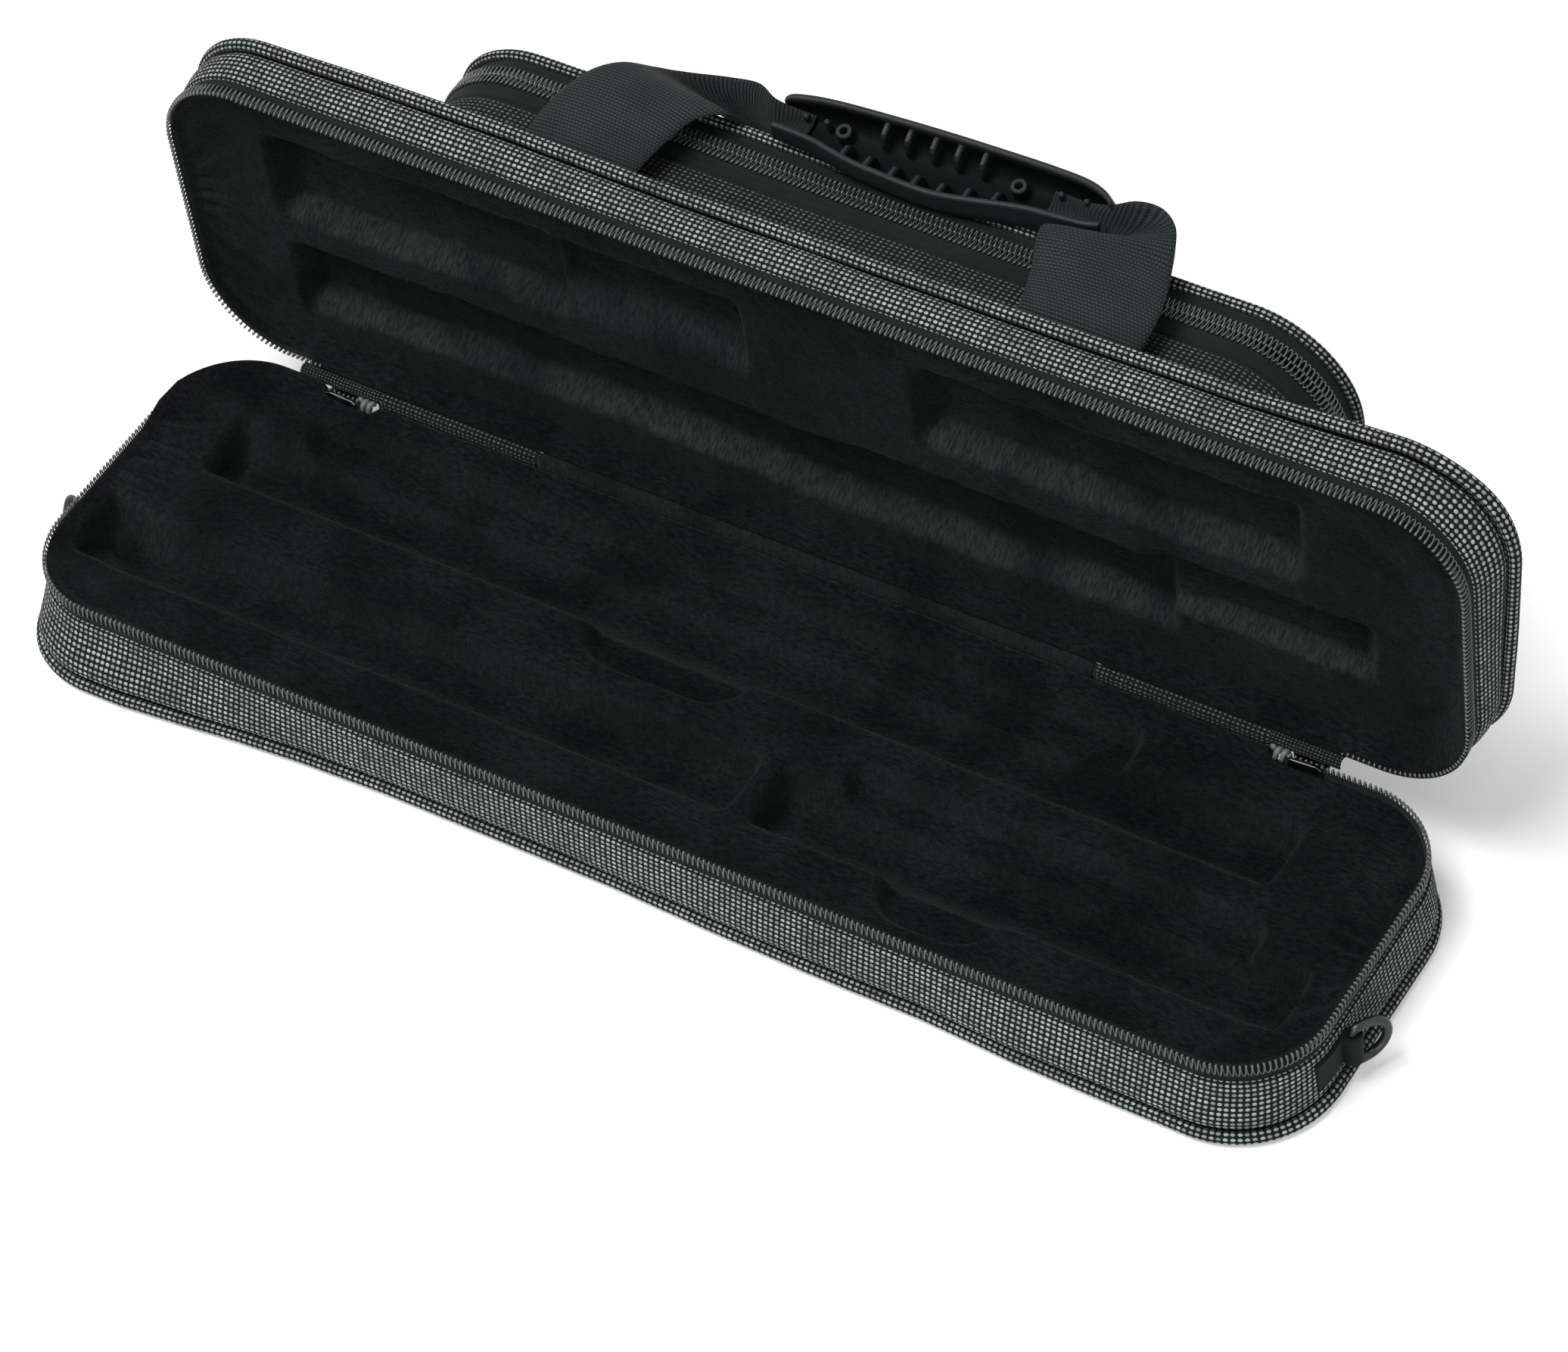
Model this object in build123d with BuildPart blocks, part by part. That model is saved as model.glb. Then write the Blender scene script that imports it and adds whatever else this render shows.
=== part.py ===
"""Soft zip case for a flute that comes apart in three joints.

A padded tray and a hinged padded lid close on a coil zip. The lid carries a zipped accessory
pocket and a webbing handle with a moulded grip. Millimetres throughout.

Frame: +X along the case, -Y the front where the zip opens, +Y the hinge, +Z up. The origin is
the middle of the underside. The lid stands open by lid_open_angle.
"""

import os
from collections import namedtuple
from math import cos, hypot, radians, sin

from build123d import *

# ---- Case as a whole ----
case_length = 424.0
case_width = 107.0
corner_radius = 28.0
base_height = 29.0
lid_depth = 23.0
lid_open_angle = 90.0
hinge_setback = 2.5

# ---- Walls and skins ----
wall_cloth = 2.0
panel_cloth = 1.6
board_thickness = 2.0
board_drop = 4.0
plush_thickness = 1.4
plush_drop = 5.0
plush_rim_drop = 3.4
piping_diameter = 4.0
piping_lift = 0.3
piping_roundness = 0.92

# ---- Main zip ----
coil_gap = 0.15
coil_height = 3.0
coil_thickness = 3.2
tape_height = 4.0
tape_thickness = 1.2
tape_inset = 0.5
zip_end_from_corner = 28.0
end_stop_length = 5.0

# ---- Cloth hinge ----
hinge_roll_radius = 2.2
hinge_flap_thickness = 1.2
hinge_flap_height = 9.0
hinge_cloth_length = 57.0
hinge_seam_gap = 1.0
soft_gap = 0.3

# ---- The three joints of the flute, as the tray holds them ----
tube_radius = 10.0
tube_side_play = 1.0
tube_end_play = 4.0
tube_axis_drop = 7.3
body_joint_length = 350.0
body_joint_from_end = 21.0
head_joint_length = 218.0
head_joint_from_end = 4.0
foot_joint_length = 158.0
foot_joint_from_end = 11.0
back_row_from_wall = 3.5
front_row_from_wall = 5.5
key_relief_depth = 7.0
body_key_relief_length = 280.0
body_key_relief_shift = -17.0
body_key_relief_reach = 22.0
foot_key_relief_length = 130.0
foot_key_relief_reach = 20.0
finger_notch_radius = 13.0
finger_notch_depth = 9.0
body_notch_shift = -6.0
foot_notch_shift = -20.0

# ---- Channels moulded in the lid's lining ----
channel_depth = 9.0
channel_corner = 9.0
body_channel_length = 306.0
body_channel_shift = -26.0
body_channel_width = 34.0
body_channel_lean = -2.0
body_tail_length = 70.0
body_tail_width = 20.0
front_channel_width = 32.0
head_channel_length = 178.0
head_channel_shift = -16.0
foot_channel_length = 134.0
foot_channel_shift = -14.0
lip_plate_recess_length = 60.0
lip_plate_recess_depth = 4.0

# ---- Accessory pocket on the lid ----
pocket_end_margin = 64.0
pocket_side_margin = 10.5
pocket_corner = 31.0
gusset_height = 18.5
gusset_cloth = 1.6
pocket_tape_inner_height = 6.5
pocket_tape_outer_height = 4.5
pocket_tape_thickness = 1.2
pocket_coil_height = 3.0
pocket_coil_thickness = 2.8
pocket_coil_proud = 0.6
pocket_piping_diameter = 3.2
pocket_panel_thickness = 2.0
pocket_zip_end_from_corner = 27.0

# ---- Webbing and grip ----
webbing_width = 38.0
webbing_thickness = 2.0
strap_from_grip = 27.5
strap_stand_off = 7.5
strap_bend_setback = 4.0
grip_length = 105.0
grip_width = 29.5
grip_depth = 15.0
grip_wall = 2.4
grip_corner = 7.0
grip_edge_round = 4.5
grip_x = 12.0
grip_tilt = 13.5
grip_set_back = 7.8
grip_drop = 2.0
grip_strap_width = 24.0
grip_strap_in = 20.0
grip_strap_depth = 6.3
grip_end_slot_play = 0.2
grip_rib_count = 7
grip_rib_pitch = 12.0
grip_rib_thickness = 1.4
grip_rib_reach = 3.6
grip_rib_start = 1.5
grip_rib_length = 4.0
rivet_from_end = 13.0
rivet_radius = 1.5
rivet_head_radius = 3.0
rivet_head_thickness = 1.0
rivet_play = 0.05
boss_radius = 4.0
grip_slot_length = 9.0
grip_slot_width = 4.0
grip_slot_offset = 28.0

# ---- Shoulder strap rings ----
ring_wire_radius = 1.4
ring_bar_length = 14.0
ring_bend_radius = 2.0
ring_reach = 11.0
ring_from_corner = 5.5
ring_z = 14.0
ring_rest_angle = 30.0
tab_width = 10.0
tab_length = 14.0
tab_thickness = 1.5
pin_play = 0.08

# ---- Zip sliders and pulls ----
slider_length = 12.0
slider_plate = 1.4
slider_height = 7.0
slider_play = 0.25
slider_bridge = 1.0
slider_end_gap = 1.0
slider_clear_run = 3.0
bail_bar_radius = 0.8
bail_ear_thickness = 1.2
bail_ear_height = 3.0
bail_inner_width = 4.4
bail_stand_off = 1.9
bail_drop = 3.2
pull_length = 20.0
pull_width = 6.4
pull_corner = 1.6
pull_thickness = 1.5
pull_eye_wall = 0.8
pull_side_play = 0.2
pocket_pull_length = 16.0

# ---- Worked out from the sizes above ----
hinge_y = case_width / 2 + hinge_setback
hinge_z = base_height
zip_end = case_length / 2 - corner_radius - zip_end_from_corner
hinge_half = zip_end - end_stop_length
hinge_cover_half = hinge_half - hinge_cloth_length
zip_band = coil_gap + coil_height + tape_height
piping_radius = piping_diameter / 2
wall_end_lift = piping_diameter + piping_lift
board_inset = wall_cloth
core_inset = board_inset + board_thickness
recess_radius = tube_radius + tube_side_play
tray_half = case_length / 2 - core_inset - tube_end_play
tray_side = case_width / 2 - core_inset
body_joint_x = body_joint_from_end - tray_half + body_joint_length / 2
head_joint_x = head_joint_from_end - tray_half + head_joint_length / 2
foot_joint_x = tray_half - foot_joint_from_end - foot_joint_length / 2
body_joint_y = tray_side - back_row_from_wall - body_key_relief_reach
front_row_y = front_row_from_wall + finger_notch_radius + recess_radius - tray_side
body_channel_x = body_joint_x + body_channel_shift
body_channel_v = body_joint_y + body_channel_lean
body_tail_x = body_channel_x + body_channel_length / 2 + body_tail_length / 2 - channel_corner
body_tail_v = body_channel_v - (body_channel_width - body_tail_width) / 2
head_channel_x = head_joint_x + head_channel_shift
head_channel_end = head_channel_x + head_channel_length / 2
slider_x = zip_end + slider_end_gap + slider_length / 2
slider_top = base_height - coil_gap + slider_play + slider_bridge
pocket_length = case_length - 2 * pocket_end_margin
pocket_width = case_width - 2 * pocket_side_margin
pocket_zip_end = pocket_length / 2 - pocket_corner - pocket_zip_end_from_corner
pocket_slider_x = pocket_zip_end + slider_end_gap + slider_length / 2
lid_coil_end = slider_x + slider_length / 2 + slider_clear_run

pocket_tape_start = gusset_height
pocket_coil_start = pocket_tape_start + pocket_tape_inner_height
pocket_split = pocket_coil_start + pocket_coil_height
pocket_coil_end = pocket_split + pocket_coil_height
pocket_tape_end = pocket_coil_end + pocket_tape_outer_height
pocket_depth = pocket_tape_end + pocket_piping_diameter
strap_bend_v = -(pocket_width / 2 + strap_stand_off)
strap_bend_w = lid_depth + pocket_depth - strap_bend_setback
strap_x = grip_length / 2 + strap_from_grip
left_grip_end = grip_x - grip_length / 2
right_grip_end = grip_x + grip_length / 2
rivet_places = (left_grip_end + rivet_from_end, right_grip_end - rivet_from_end)
ring_bar_x = case_length / 2 + tab_thickness + pin_play + ring_wire_radius
ring_y = ring_from_corner + corner_radius - case_width / 2

Half = namedtuple("Half", "name frame depth")

# Both halves are drawn from the zip's closing line outwards: local x along the case,
# local y towards the hinge, local z away from the closing line.
open_sin = sin(radians(lid_open_angle))
open_cos = cos(radians(lid_open_angle))
base = Half(
    "base",
    Plane(origin=(0, 0, base_height), x_dir=(-1, 0, 0), z_dir=(0, 0, -1)),
    base_height,
)
lid = Half(
    "lid",
    Plane(
        origin=(0, hinge_y - hinge_y * open_cos, hinge_z + hinge_y * open_sin),
        x_dir=(1, 0, 0),
        z_dir=(0, open_sin, open_cos),
    ),
    lid_depth,
)
pocket_frame = lid.frame.offset(lid_depth)

# The webbing bends on a line beyond the pocket's zip, and the grip hangs behind that line.
# The grip's frame has its local z into the channel, square to its mouth.
tilt = radians(grip_tilt)
bend_point = (
    lid.frame.origin + lid.frame.y_dir * strap_bend_v + lid.frame.z_dir * strap_bend_w
)
grip_frame = Plane(
    origin=bend_point + lid.frame.z_dir * grip_set_back + lid.frame.y_dir * grip_drop,
    x_dir=(1, 0, 0),
    z_dir=lid.frame.z_dir * cos(tilt) - lid.frame.y_dir * sin(tilt),
)
strap_middle = grip_strap_depth + webbing_thickness / 2
strap_reach = grip_set_back + (strap_middle - grip_drop * sin(tilt)) / cos(tilt)


# ---------------------------------------------------------------- outlines
def case_outline(inset, mode=Mode.ADD):
    """Plan of the case, drawn that far inside the outer face of its walls."""
    RectangleRounded(
        case_length - 2 * inset,
        case_width - 2 * inset,
        corner_radius - inset,
        mode=mode,
    )


def case_ring(inset, thickness):
    """Ring that follows the walls."""
    case_outline(inset)
    case_outline(inset + thickness, mode=Mode.SUBTRACT)


def back_strip(half_length, mode):
    """Strip across the hinge side, as long as the stretch of wall without a zip."""
    with Locations((0, case_width / 2)):
        Rectangle(2 * half_length, 2 * corner_radius, mode=mode)


def pocket_outline(inset, mode=Mode.ADD):
    """Plan of the accessory pocket, drawn that far inside its gusset."""
    RectangleRounded(
        pocket_length - 2 * inset,
        pocket_width - 2 * inset,
        pocket_corner - inset,
        mode=mode,
    )


def pocket_ring(inset, thickness):
    """Ring that follows the pocket's gusset."""
    pocket_outline(inset)
    pocket_outline(inset + thickness, mode=Mode.SUBTRACT)


def pocket_back_strip(mode):
    """Strip across the pocket's hinge side, as long as the stretch without a zip."""
    with Locations((0, pocket_width / 2)):
        Rectangle(2 * pocket_zip_end, 2 * pocket_corner, mode=mode)


# ---------------------------------------------------------------- both halves
def make_wall_cloth(half):
    """Band of case cloth; on the hinge side it reaches up to the closing line."""
    wall_end = half.depth - wall_end_lift
    with BuildPart() as wall:
        with BuildSketch(half.frame.offset(zip_band)):
            case_ring(0, wall_cloth)
        extrude(amount=wall_end - zip_band)
        with BuildSketch(half.frame.offset(soft_gap)):
            case_ring(0, wall_cloth)
            back_strip(hinge_half, Mode.INTERSECT)
        extrude(amount=zip_band - soft_gap)
    wall.part.label = f"{half.name}_wall_cloth"
    export_step(wall.part, f"parts/{half.name}_wall_cloth.step")


def make_outer_panel(half):
    """Flat cloth panel that closes the half, inside the piping."""
    with BuildPart() as panel:
        with BuildSketch(half.frame.offset(half.depth - panel_cloth)):
            case_outline(piping_radius)
        extrude(amount=panel_cloth)
    panel.part.label = f"{half.name}_outer_panel"
    export_step(panel.part, f"parts/{half.name}_outer_panel.step")


def make_piping(half):
    """Corded piping over the seam between wall and panel."""
    with BuildPart() as piping:
        with BuildSketch(half.frame.offset(half.depth - wall_end_lift)):
            case_ring(-piping_radius, piping_diameter)
        extrude(amount=piping_diameter)
        fillet(piping.edges(), radius=piping_roundness * piping_radius)
    piping.part.label = f"{half.name}_piping"
    export_step(piping.part, f"parts/{half.name}_piping.step")


def make_wall_board(half):
    """Stiffening band inside the wall cloth."""
    with BuildPart() as board:
        with BuildSketch(half.frame.offset(board_drop)):
            case_ring(board_inset, board_thickness)
        extrude(amount=half.depth - panel_cloth - board_drop)
    board.part.label = f"{half.name}_wall_board"
    export_step(board.part, f"parts/{half.name}_wall_board.step")


def make_zip_tape(half):
    """Zip tape, sewn to the top of the wall on three sides and round all four corners."""
    with BuildPart() as tape:
        with BuildSketch(half.frame.offset(coil_gap + coil_height)):
            case_ring(tape_inset, tape_thickness)
            back_strip(zip_end, Mode.SUBTRACT)
        extrude(amount=tape_height)
    tape.part.label = f"{half.name}_zip_tape"
    export_step(tape.part, f"parts/{half.name}_zip_tape.step")


def make_zip_coil(half, end_x):
    """Half of the zip's coil, along the edge of the tape."""
    with BuildPart() as coil:
        with BuildSketch(half.frame.offset(coil_gap)):
            case_ring(0, coil_thickness)
            back_strip(end_x, Mode.SUBTRACT)
        extrude(amount=coil_height)
    coil.part.label = f"{half.name}_zip_coil"
    export_step(coil.part, f"parts/{half.name}_zip_coil.step")


# ---------------------------------------------------------------- tray
def row_tube(length, centre_x, centre_y, grow, top, mode):
    """Trough for one joint of the flute: round below, straight-sided up to the top."""
    radius = recess_radius + grow
    full_length = length + 2 * tube_end_play + 2 * grow
    axis_z = base_height - tube_axis_drop
    with Locations((centre_x, centre_y, axis_z)):
        Cylinder(radius, full_length, rotation=(0, 90, 0), mode=mode)
        Box(
            full_length,
            2 * radius,
            top - axis_z,
            align=(Align.CENTER, Align.CENTER, Align.MIN),
            mode=mode,
        )


def key_relief(length, centre_x, tube_y, reach, grow, top, mode):
    """Shallow shelf behind a trough, under the rods and keys."""
    floor = base_height - plush_drop - key_relief_depth - grow
    with Locations((centre_x, tube_y, floor)):
        Box(
            length + 2 * grow,
            reach + grow,
            top - floor,
            align=(Align.CENTER, Align.MIN, Align.MIN),
            mode=mode,
        )


def finger_notch(centre_x, tube_y, grow, top, mode):
    """Round notch in front of a trough, to lift the joint out."""
    floor = base_height - plush_drop - finger_notch_depth - grow
    with Locations((centre_x, tube_y - recess_radius, floor)):
        Cylinder(
            finger_notch_radius + grow,
            top - floor,
            align=(Align.CENTER, Align.CENTER, Align.MIN),
            mode=mode,
        )


def tray_recesses(grow, top, mode):
    """Every hollow of the tray, larger all round by the thickness given."""
    row_tube(body_joint_length, body_joint_x, body_joint_y, grow, top, mode)
    row_tube(head_joint_length, head_joint_x, front_row_y, grow, top, mode)
    row_tube(foot_joint_length, foot_joint_x, front_row_y, grow, top, mode)
    key_relief(
        body_key_relief_length, body_joint_x + body_key_relief_shift, body_joint_y,
        body_key_relief_reach, grow, top, mode,
    )
    key_relief(
        foot_key_relief_length, foot_joint_x, front_row_y, foot_key_relief_reach,
        grow, top, mode,
    )
    finger_notch(body_joint_x + body_notch_shift, body_joint_y, grow, top, mode)
    finger_notch(foot_joint_x + foot_notch_shift, front_row_y, grow, top, mode)


def make_base_core():
    """Moulded foam block of the tray, with the troughs cut in."""
    top = base_height - plush_drop - plush_thickness
    with BuildPart() as base_core:
        with BuildSketch(Plane.XY.offset(panel_cloth)):
            case_outline(core_inset)
        extrude(amount=top - panel_cloth)
        tray_recesses(plush_thickness, base_height, Mode.SUBTRACT)
    base_core.part.label = "base_core"
    export_step(base_core.part, "parts/base_core.step")


def make_base_lining():
    """Plush skin over the block: its top, its troughs and a rim up to the zip."""
    top = base_height - plush_drop
    with BuildPart() as base_lining:
        with BuildSketch(Plane.XY.offset(top - plush_thickness)):
            case_outline(core_inset)
        extrude(amount=plush_thickness)
        tray_recesses(plush_thickness, top, Mode.ADD)
        split(bisect_by=Plane.XY.offset(top), keep=Keep.BOTTOM)
        with BuildSketch(Plane.XY.offset(top)):
            case_ring(core_inset, plush_thickness)
        extrude(amount=plush_drop - plush_rim_drop)
        tray_recesses(0, base_height, Mode.SUBTRACT)
    base_lining.part.label = "base_lining"
    export_step(base_lining.part, "parts/base_lining.step")


# ---------------------------------------------------------------- lid lining
def lid_channels(grow):
    """Plan of the channels that clear the keys, larger all round by the thickness given."""
    for centre_x, centre_v, length, width in (
        (body_channel_x, body_channel_v, body_channel_length, body_channel_width),
        (body_tail_x, body_tail_v, body_tail_length, body_tail_width),
        (head_channel_x, front_row_y, head_channel_length, front_channel_width),
        (
            foot_joint_x + foot_channel_shift,
            front_row_y,
            foot_channel_length,
            front_channel_width,
        ),
    ):
        with Locations((centre_x, centre_v)):
            RectangleRounded(length + 2 * grow, width + 2 * grow, channel_corner + grow)


def lip_plate_recess(grow):
    """Plan of the deeper end of the head joint's channel, over the lip plate."""
    with Locations((head_channel_end - lip_plate_recess_length / 2, front_row_y)):
        RectangleRounded(
            lip_plate_recess_length + 2 * grow,
            front_channel_width + 2 * grow,
            channel_corner + grow,
        )


def make_lid_core():
    """Foam block of the lid, with the channels cut in."""
    face = plush_drop + plush_thickness
    with BuildPart() as lid_core:
        with BuildSketch(lid.frame.offset(face)):
            case_outline(core_inset)
        extrude(amount=lid_depth - panel_cloth - face)
        with BuildSketch(lid.frame.offset(face)):
            lid_channels(plush_thickness)
        extrude(amount=channel_depth, mode=Mode.SUBTRACT)
        with BuildSketch(lid.frame.offset(face)):
            lip_plate_recess(plush_thickness)
        extrude(amount=channel_depth + lip_plate_recess_depth, mode=Mode.SUBTRACT)
    lid_core.part.label = "lid_core"
    export_step(lid_core.part, "parts/lid_core.step")


def make_lid_lining():
    """Plush skin over the lid's block, its channels and a rim up to the zip."""
    with BuildPart() as lid_lining:
        with BuildSketch(lid.frame.offset(plush_drop)):
            case_outline(core_inset)
        extrude(amount=plush_thickness)
        with BuildSketch(lid.frame.offset(plush_drop)):
            lid_channels(plush_thickness)
        extrude(amount=channel_depth + plush_thickness)
        with BuildSketch(lid.frame.offset(plush_drop)):
            lip_plate_recess(plush_thickness)
        extrude(amount=channel_depth + lip_plate_recess_depth + plush_thickness)
        with BuildSketch(lid.frame.offset(plush_rim_drop)):
            case_ring(core_inset, plush_thickness)
        extrude(amount=plush_drop - plush_rim_drop)
        with BuildSketch(lid.frame.offset(plush_drop)):
            lid_channels(0)
        extrude(amount=channel_depth, mode=Mode.SUBTRACT)
        with BuildSketch(lid.frame.offset(plush_drop)):
            lip_plate_recess(0)
        extrude(amount=channel_depth + lip_plate_recess_depth, mode=Mode.SUBTRACT)
    lid_lining.part.label = "lid_lining"
    export_step(lid_lining.part, "parts/lid_lining.step")


# ---------------------------------------------------------------- hinge side
def make_end_stops():
    """Moulded stops where the coil ends, one at each side of the hinge."""
    with BuildPart() as zip_end_stops:
        with BuildSketch(base.frame.offset(soft_gap)):
            case_ring(0, coil_thickness)
            back_strip(zip_end, Mode.INTERSECT)
            back_strip(hinge_half, Mode.SUBTRACT)
        extrude(amount=coil_height)
    zip_end_stops.part.label = "zip_end_stops"
    export_step(zip_end_stops.part, "parts/zip_end_stops.step")


def make_hinge_strip(name, from_x, to_x):
    """Folded cloth on the hinge line: a flap sewn to the wall, and a roll round the axis."""
    with BuildPart() as strip:
        with BuildSketch(Plane.YZ.offset(from_x)):
            with Locations((hinge_y, hinge_z)):
                Circle(hinge_roll_radius)
            with Locations((case_width / 2, hinge_z - hinge_flap_height)):
                Rectangle(
                    hinge_flap_thickness, hinge_flap_height, align=(Align.MIN, Align.MIN)
                )
        extrude(amount=to_x - from_x)
    strip.part.label = name
    export_step(strip.part, f"parts/{name}.step")


def make_lid_hinge_flap():
    """Flap of the hinge cloth that is sewn to the lid's back wall."""
    start = hinge_roll_radius + soft_gap + hinge_seam_gap
    with BuildPart() as lid_hinge_flap:
        with BuildSketch(lid.frame.offset(start)):
            with Locations((0, case_width / 2)):
                Rectangle(
                    2 * hinge_half, hinge_flap_thickness, align=(Align.CENTER, Align.MIN)
                )
        extrude(amount=hinge_flap_height - start)
    lid_hinge_flap.part.label = "lid_hinge_flap"
    export_step(lid_hinge_flap.part, "parts/lid_hinge_flap.step")


# ---------------------------------------------------------------- pocket
def make_pocket_gusset():
    """Side wall of the pocket, sewn to the lid's panel."""
    with BuildPart() as pocket_gusset:
        with BuildSketch(pocket_frame):
            pocket_ring(0, gusset_cloth)
        extrude(amount=gusset_height)
    pocket_gusset.part.label = "pocket_gusset"
    export_step(pocket_gusset.part, "parts/pocket_gusset.step")


def make_pocket_hinge_cloth():
    """Stretch of gusset without a zip, on which the pocket's front opens."""
    with BuildPart() as pocket_hinge_cloth:
        with BuildSketch(pocket_frame.offset(pocket_tape_start)):
            pocket_ring(0, gusset_cloth)
            pocket_back_strip(Mode.INTERSECT)
        extrude(amount=pocket_tape_end - pocket_tape_start)
    pocket_hinge_cloth.part.label = "pocket_hinge_cloth"
    export_step(pocket_hinge_cloth.part, "parts/pocket_hinge_cloth.step")


def make_pocket_tape(name, start, height):
    """One side of the pocket zip's tape."""
    with BuildPart() as tape:
        with BuildSketch(pocket_frame.offset(start)):
            pocket_ring(0, pocket_tape_thickness)
            pocket_back_strip(Mode.SUBTRACT)
        extrude(amount=height)
    tape.part.label = name
    export_step(tape.part, f"parts/{name}.step")


def make_pocket_coil(name, start):
    """One side of the pocket zip's coil; the two sides are meshed."""
    with BuildPart() as coil:
        with BuildSketch(pocket_frame.offset(start)):
            pocket_ring(-pocket_coil_proud, pocket_coil_thickness)
            pocket_back_strip(Mode.SUBTRACT)
        extrude(amount=pocket_coil_height)
    coil.part.label = name
    export_step(coil.part, f"parts/{name}.step")


def make_pocket_piping():
    """Piping round the pocket's front panel."""
    radius = pocket_piping_diameter / 2
    with BuildPart() as pocket_piping:
        with BuildSketch(pocket_frame.offset(pocket_tape_end)):
            pocket_ring(-radius, pocket_piping_diameter)
        extrude(amount=pocket_piping_diameter)
        fillet(pocket_piping.edges(), radius=piping_roundness * radius)
    pocket_piping.part.label = "pocket_piping"
    export_step(pocket_piping.part, "parts/pocket_piping.step")


def make_pocket_panel():
    """Padded front panel of the pocket, inside its piping."""
    middle = pocket_tape_end + pocket_piping_diameter / 2
    with BuildPart() as pocket_panel:
        with BuildSketch(pocket_frame.offset(middle - pocket_panel_thickness / 2)):
            pocket_outline(pocket_piping_diameter / 2)
        extrude(amount=pocket_panel_thickness)
    pocket_panel.part.label = "pocket_panel"
    export_step(pocket_panel.part, "parts/pocket_panel.step")


# ---------------------------------------------------------------- handle
def lid_side(x):
    """Plane across the lid: local x towards the hinge, local y away from the zip."""
    return Plane(
        origin=lid.frame.origin + Vector(x, 0, 0),
        x_dir=lid.frame.y_dir,
        z_dir=lid.frame.x_dir,
    )


def make_strap_anchor(name, centre_x):
    """Webbing sewn flat beside the pocket, then led up past its zip to the bend."""
    foot_width = pocket_width / 2 + soft_gap
    riser_height = strap_bend_w - webbing_thickness / 2 - soft_gap - lid_depth
    with BuildPart() as anchor:
        with BuildSketch(lid_side(centre_x - webbing_width / 2)):
            with Locations((strap_bend_v - webbing_thickness / 2, lid_depth)):
                Rectangle(
                    webbing_thickness, riser_height, align=(Align.MIN, Align.MIN)
                )
                Rectangle(
                    -foot_width - strap_bend_v + webbing_thickness / 2,
                    webbing_thickness,
                    align=(Align.MIN, Align.MIN),
                )
        extrude(amount=webbing_width)
    anchor.part.label = name
    export_step(anchor.part, f"parts/{name}.step")


def make_strap_band(name, centre_x, inner_x, rivet_x):
    """Loose webbing: over the bend, folded narrow and led into the end of the grip."""
    bend = lid_side(centre_x - webbing_width / 2)
    leg_length = abs(inner_x - centre_x)
    with BuildPart() as band:
        with BuildSketch(bend):
            with Locations((strap_bend_v, strap_bend_w)):
                Circle(webbing_thickness / 2)
                Rectangle(
                    webbing_thickness, strap_reach, align=(Align.CENTER, Align.MIN)
                )
        extrude(amount=webbing_width)
        with BuildSketch(grip_frame.offset(grip_strap_depth)):
            with Locations(((centre_x + inner_x) / 2, 0)):
                Rectangle(leg_length, grip_strap_width)
            with Locations((rivet_x, 0)):
                Circle(rivet_radius + rivet_play, mode=Mode.SUBTRACT)
        extrude(amount=webbing_thickness)
    band.part.label = name
    export_step(band.part, f"parts/{name}.step")


def make_handle_grip():
    """Moulded channel that gathers the webbing; open towards the pocket."""
    floor = grip_depth - grip_wall
    inner_half = grip_width / 2 - grip_wall
    outward = Axis(grip_frame.origin, grip_frame.z_dir)
    with BuildPart() as handle_grip:
        with BuildSketch(grip_frame):
            with Locations((grip_x, 0)):
                RectangleRounded(grip_length, grip_width, grip_corner)
        extrude(amount=grip_depth)
        fillet(handle_grip.faces().sort_by(outward)[-1].edges(), radius=grip_edge_round)
        with BuildSketch(grip_frame):
            with Locations((grip_x, 0)):
                RectangleRounded(
                    grip_length - 2 * grip_wall,
                    grip_width - 2 * grip_wall,
                    grip_corner - grip_wall,
                )
        extrude(amount=floor, mode=Mode.SUBTRACT)
        with BuildSketch(grip_frame):
            with Locations((grip_x, 0)):
                Rectangle(grip_length, grip_strap_width + 2 * grip_end_slot_play)
        extrude(
            amount=grip_strap_depth + webbing_thickness + grip_end_slot_play,
            mode=Mode.SUBTRACT,
        )
        with BuildSketch(grip_frame.offset(grip_rib_start)):
            for side in (-1, 1):
                with Locations((grip_x, side * (inner_half - grip_rib_reach / 2))):
                    with GridLocations(grip_rib_pitch, 0, grip_rib_count, 1):
                        Rectangle(grip_rib_thickness, grip_rib_reach)
        extrude(amount=grip_rib_length)
        with BuildSketch(grip_frame.offset(floor)):
            with Locations(*((x, 0) for x in rivet_places)):
                Circle(boss_radius)
        extrude(amount=grip_strap_depth + webbing_thickness + grip_end_slot_play - floor)
        with BuildSketch(grip_frame.offset(grip_strap_depth)):
            with Locations(*((x, 0) for x in rivet_places)):
                Circle(rivet_radius + rivet_play)
        extrude(amount=grip_depth, mode=Mode.SUBTRACT)
        with BuildSketch(grip_frame.offset(floor)):
            for side in (-1, 1):
                with Locations((grip_x + side * grip_slot_offset, 0)):
                    Rectangle(grip_slot_length, grip_slot_width)
        extrude(amount=grip_wall, mode=Mode.SUBTRACT)
    handle_grip.part.label = "handle_grip"
    export_step(handle_grip.part, "parts/handle_grip.step")


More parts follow.
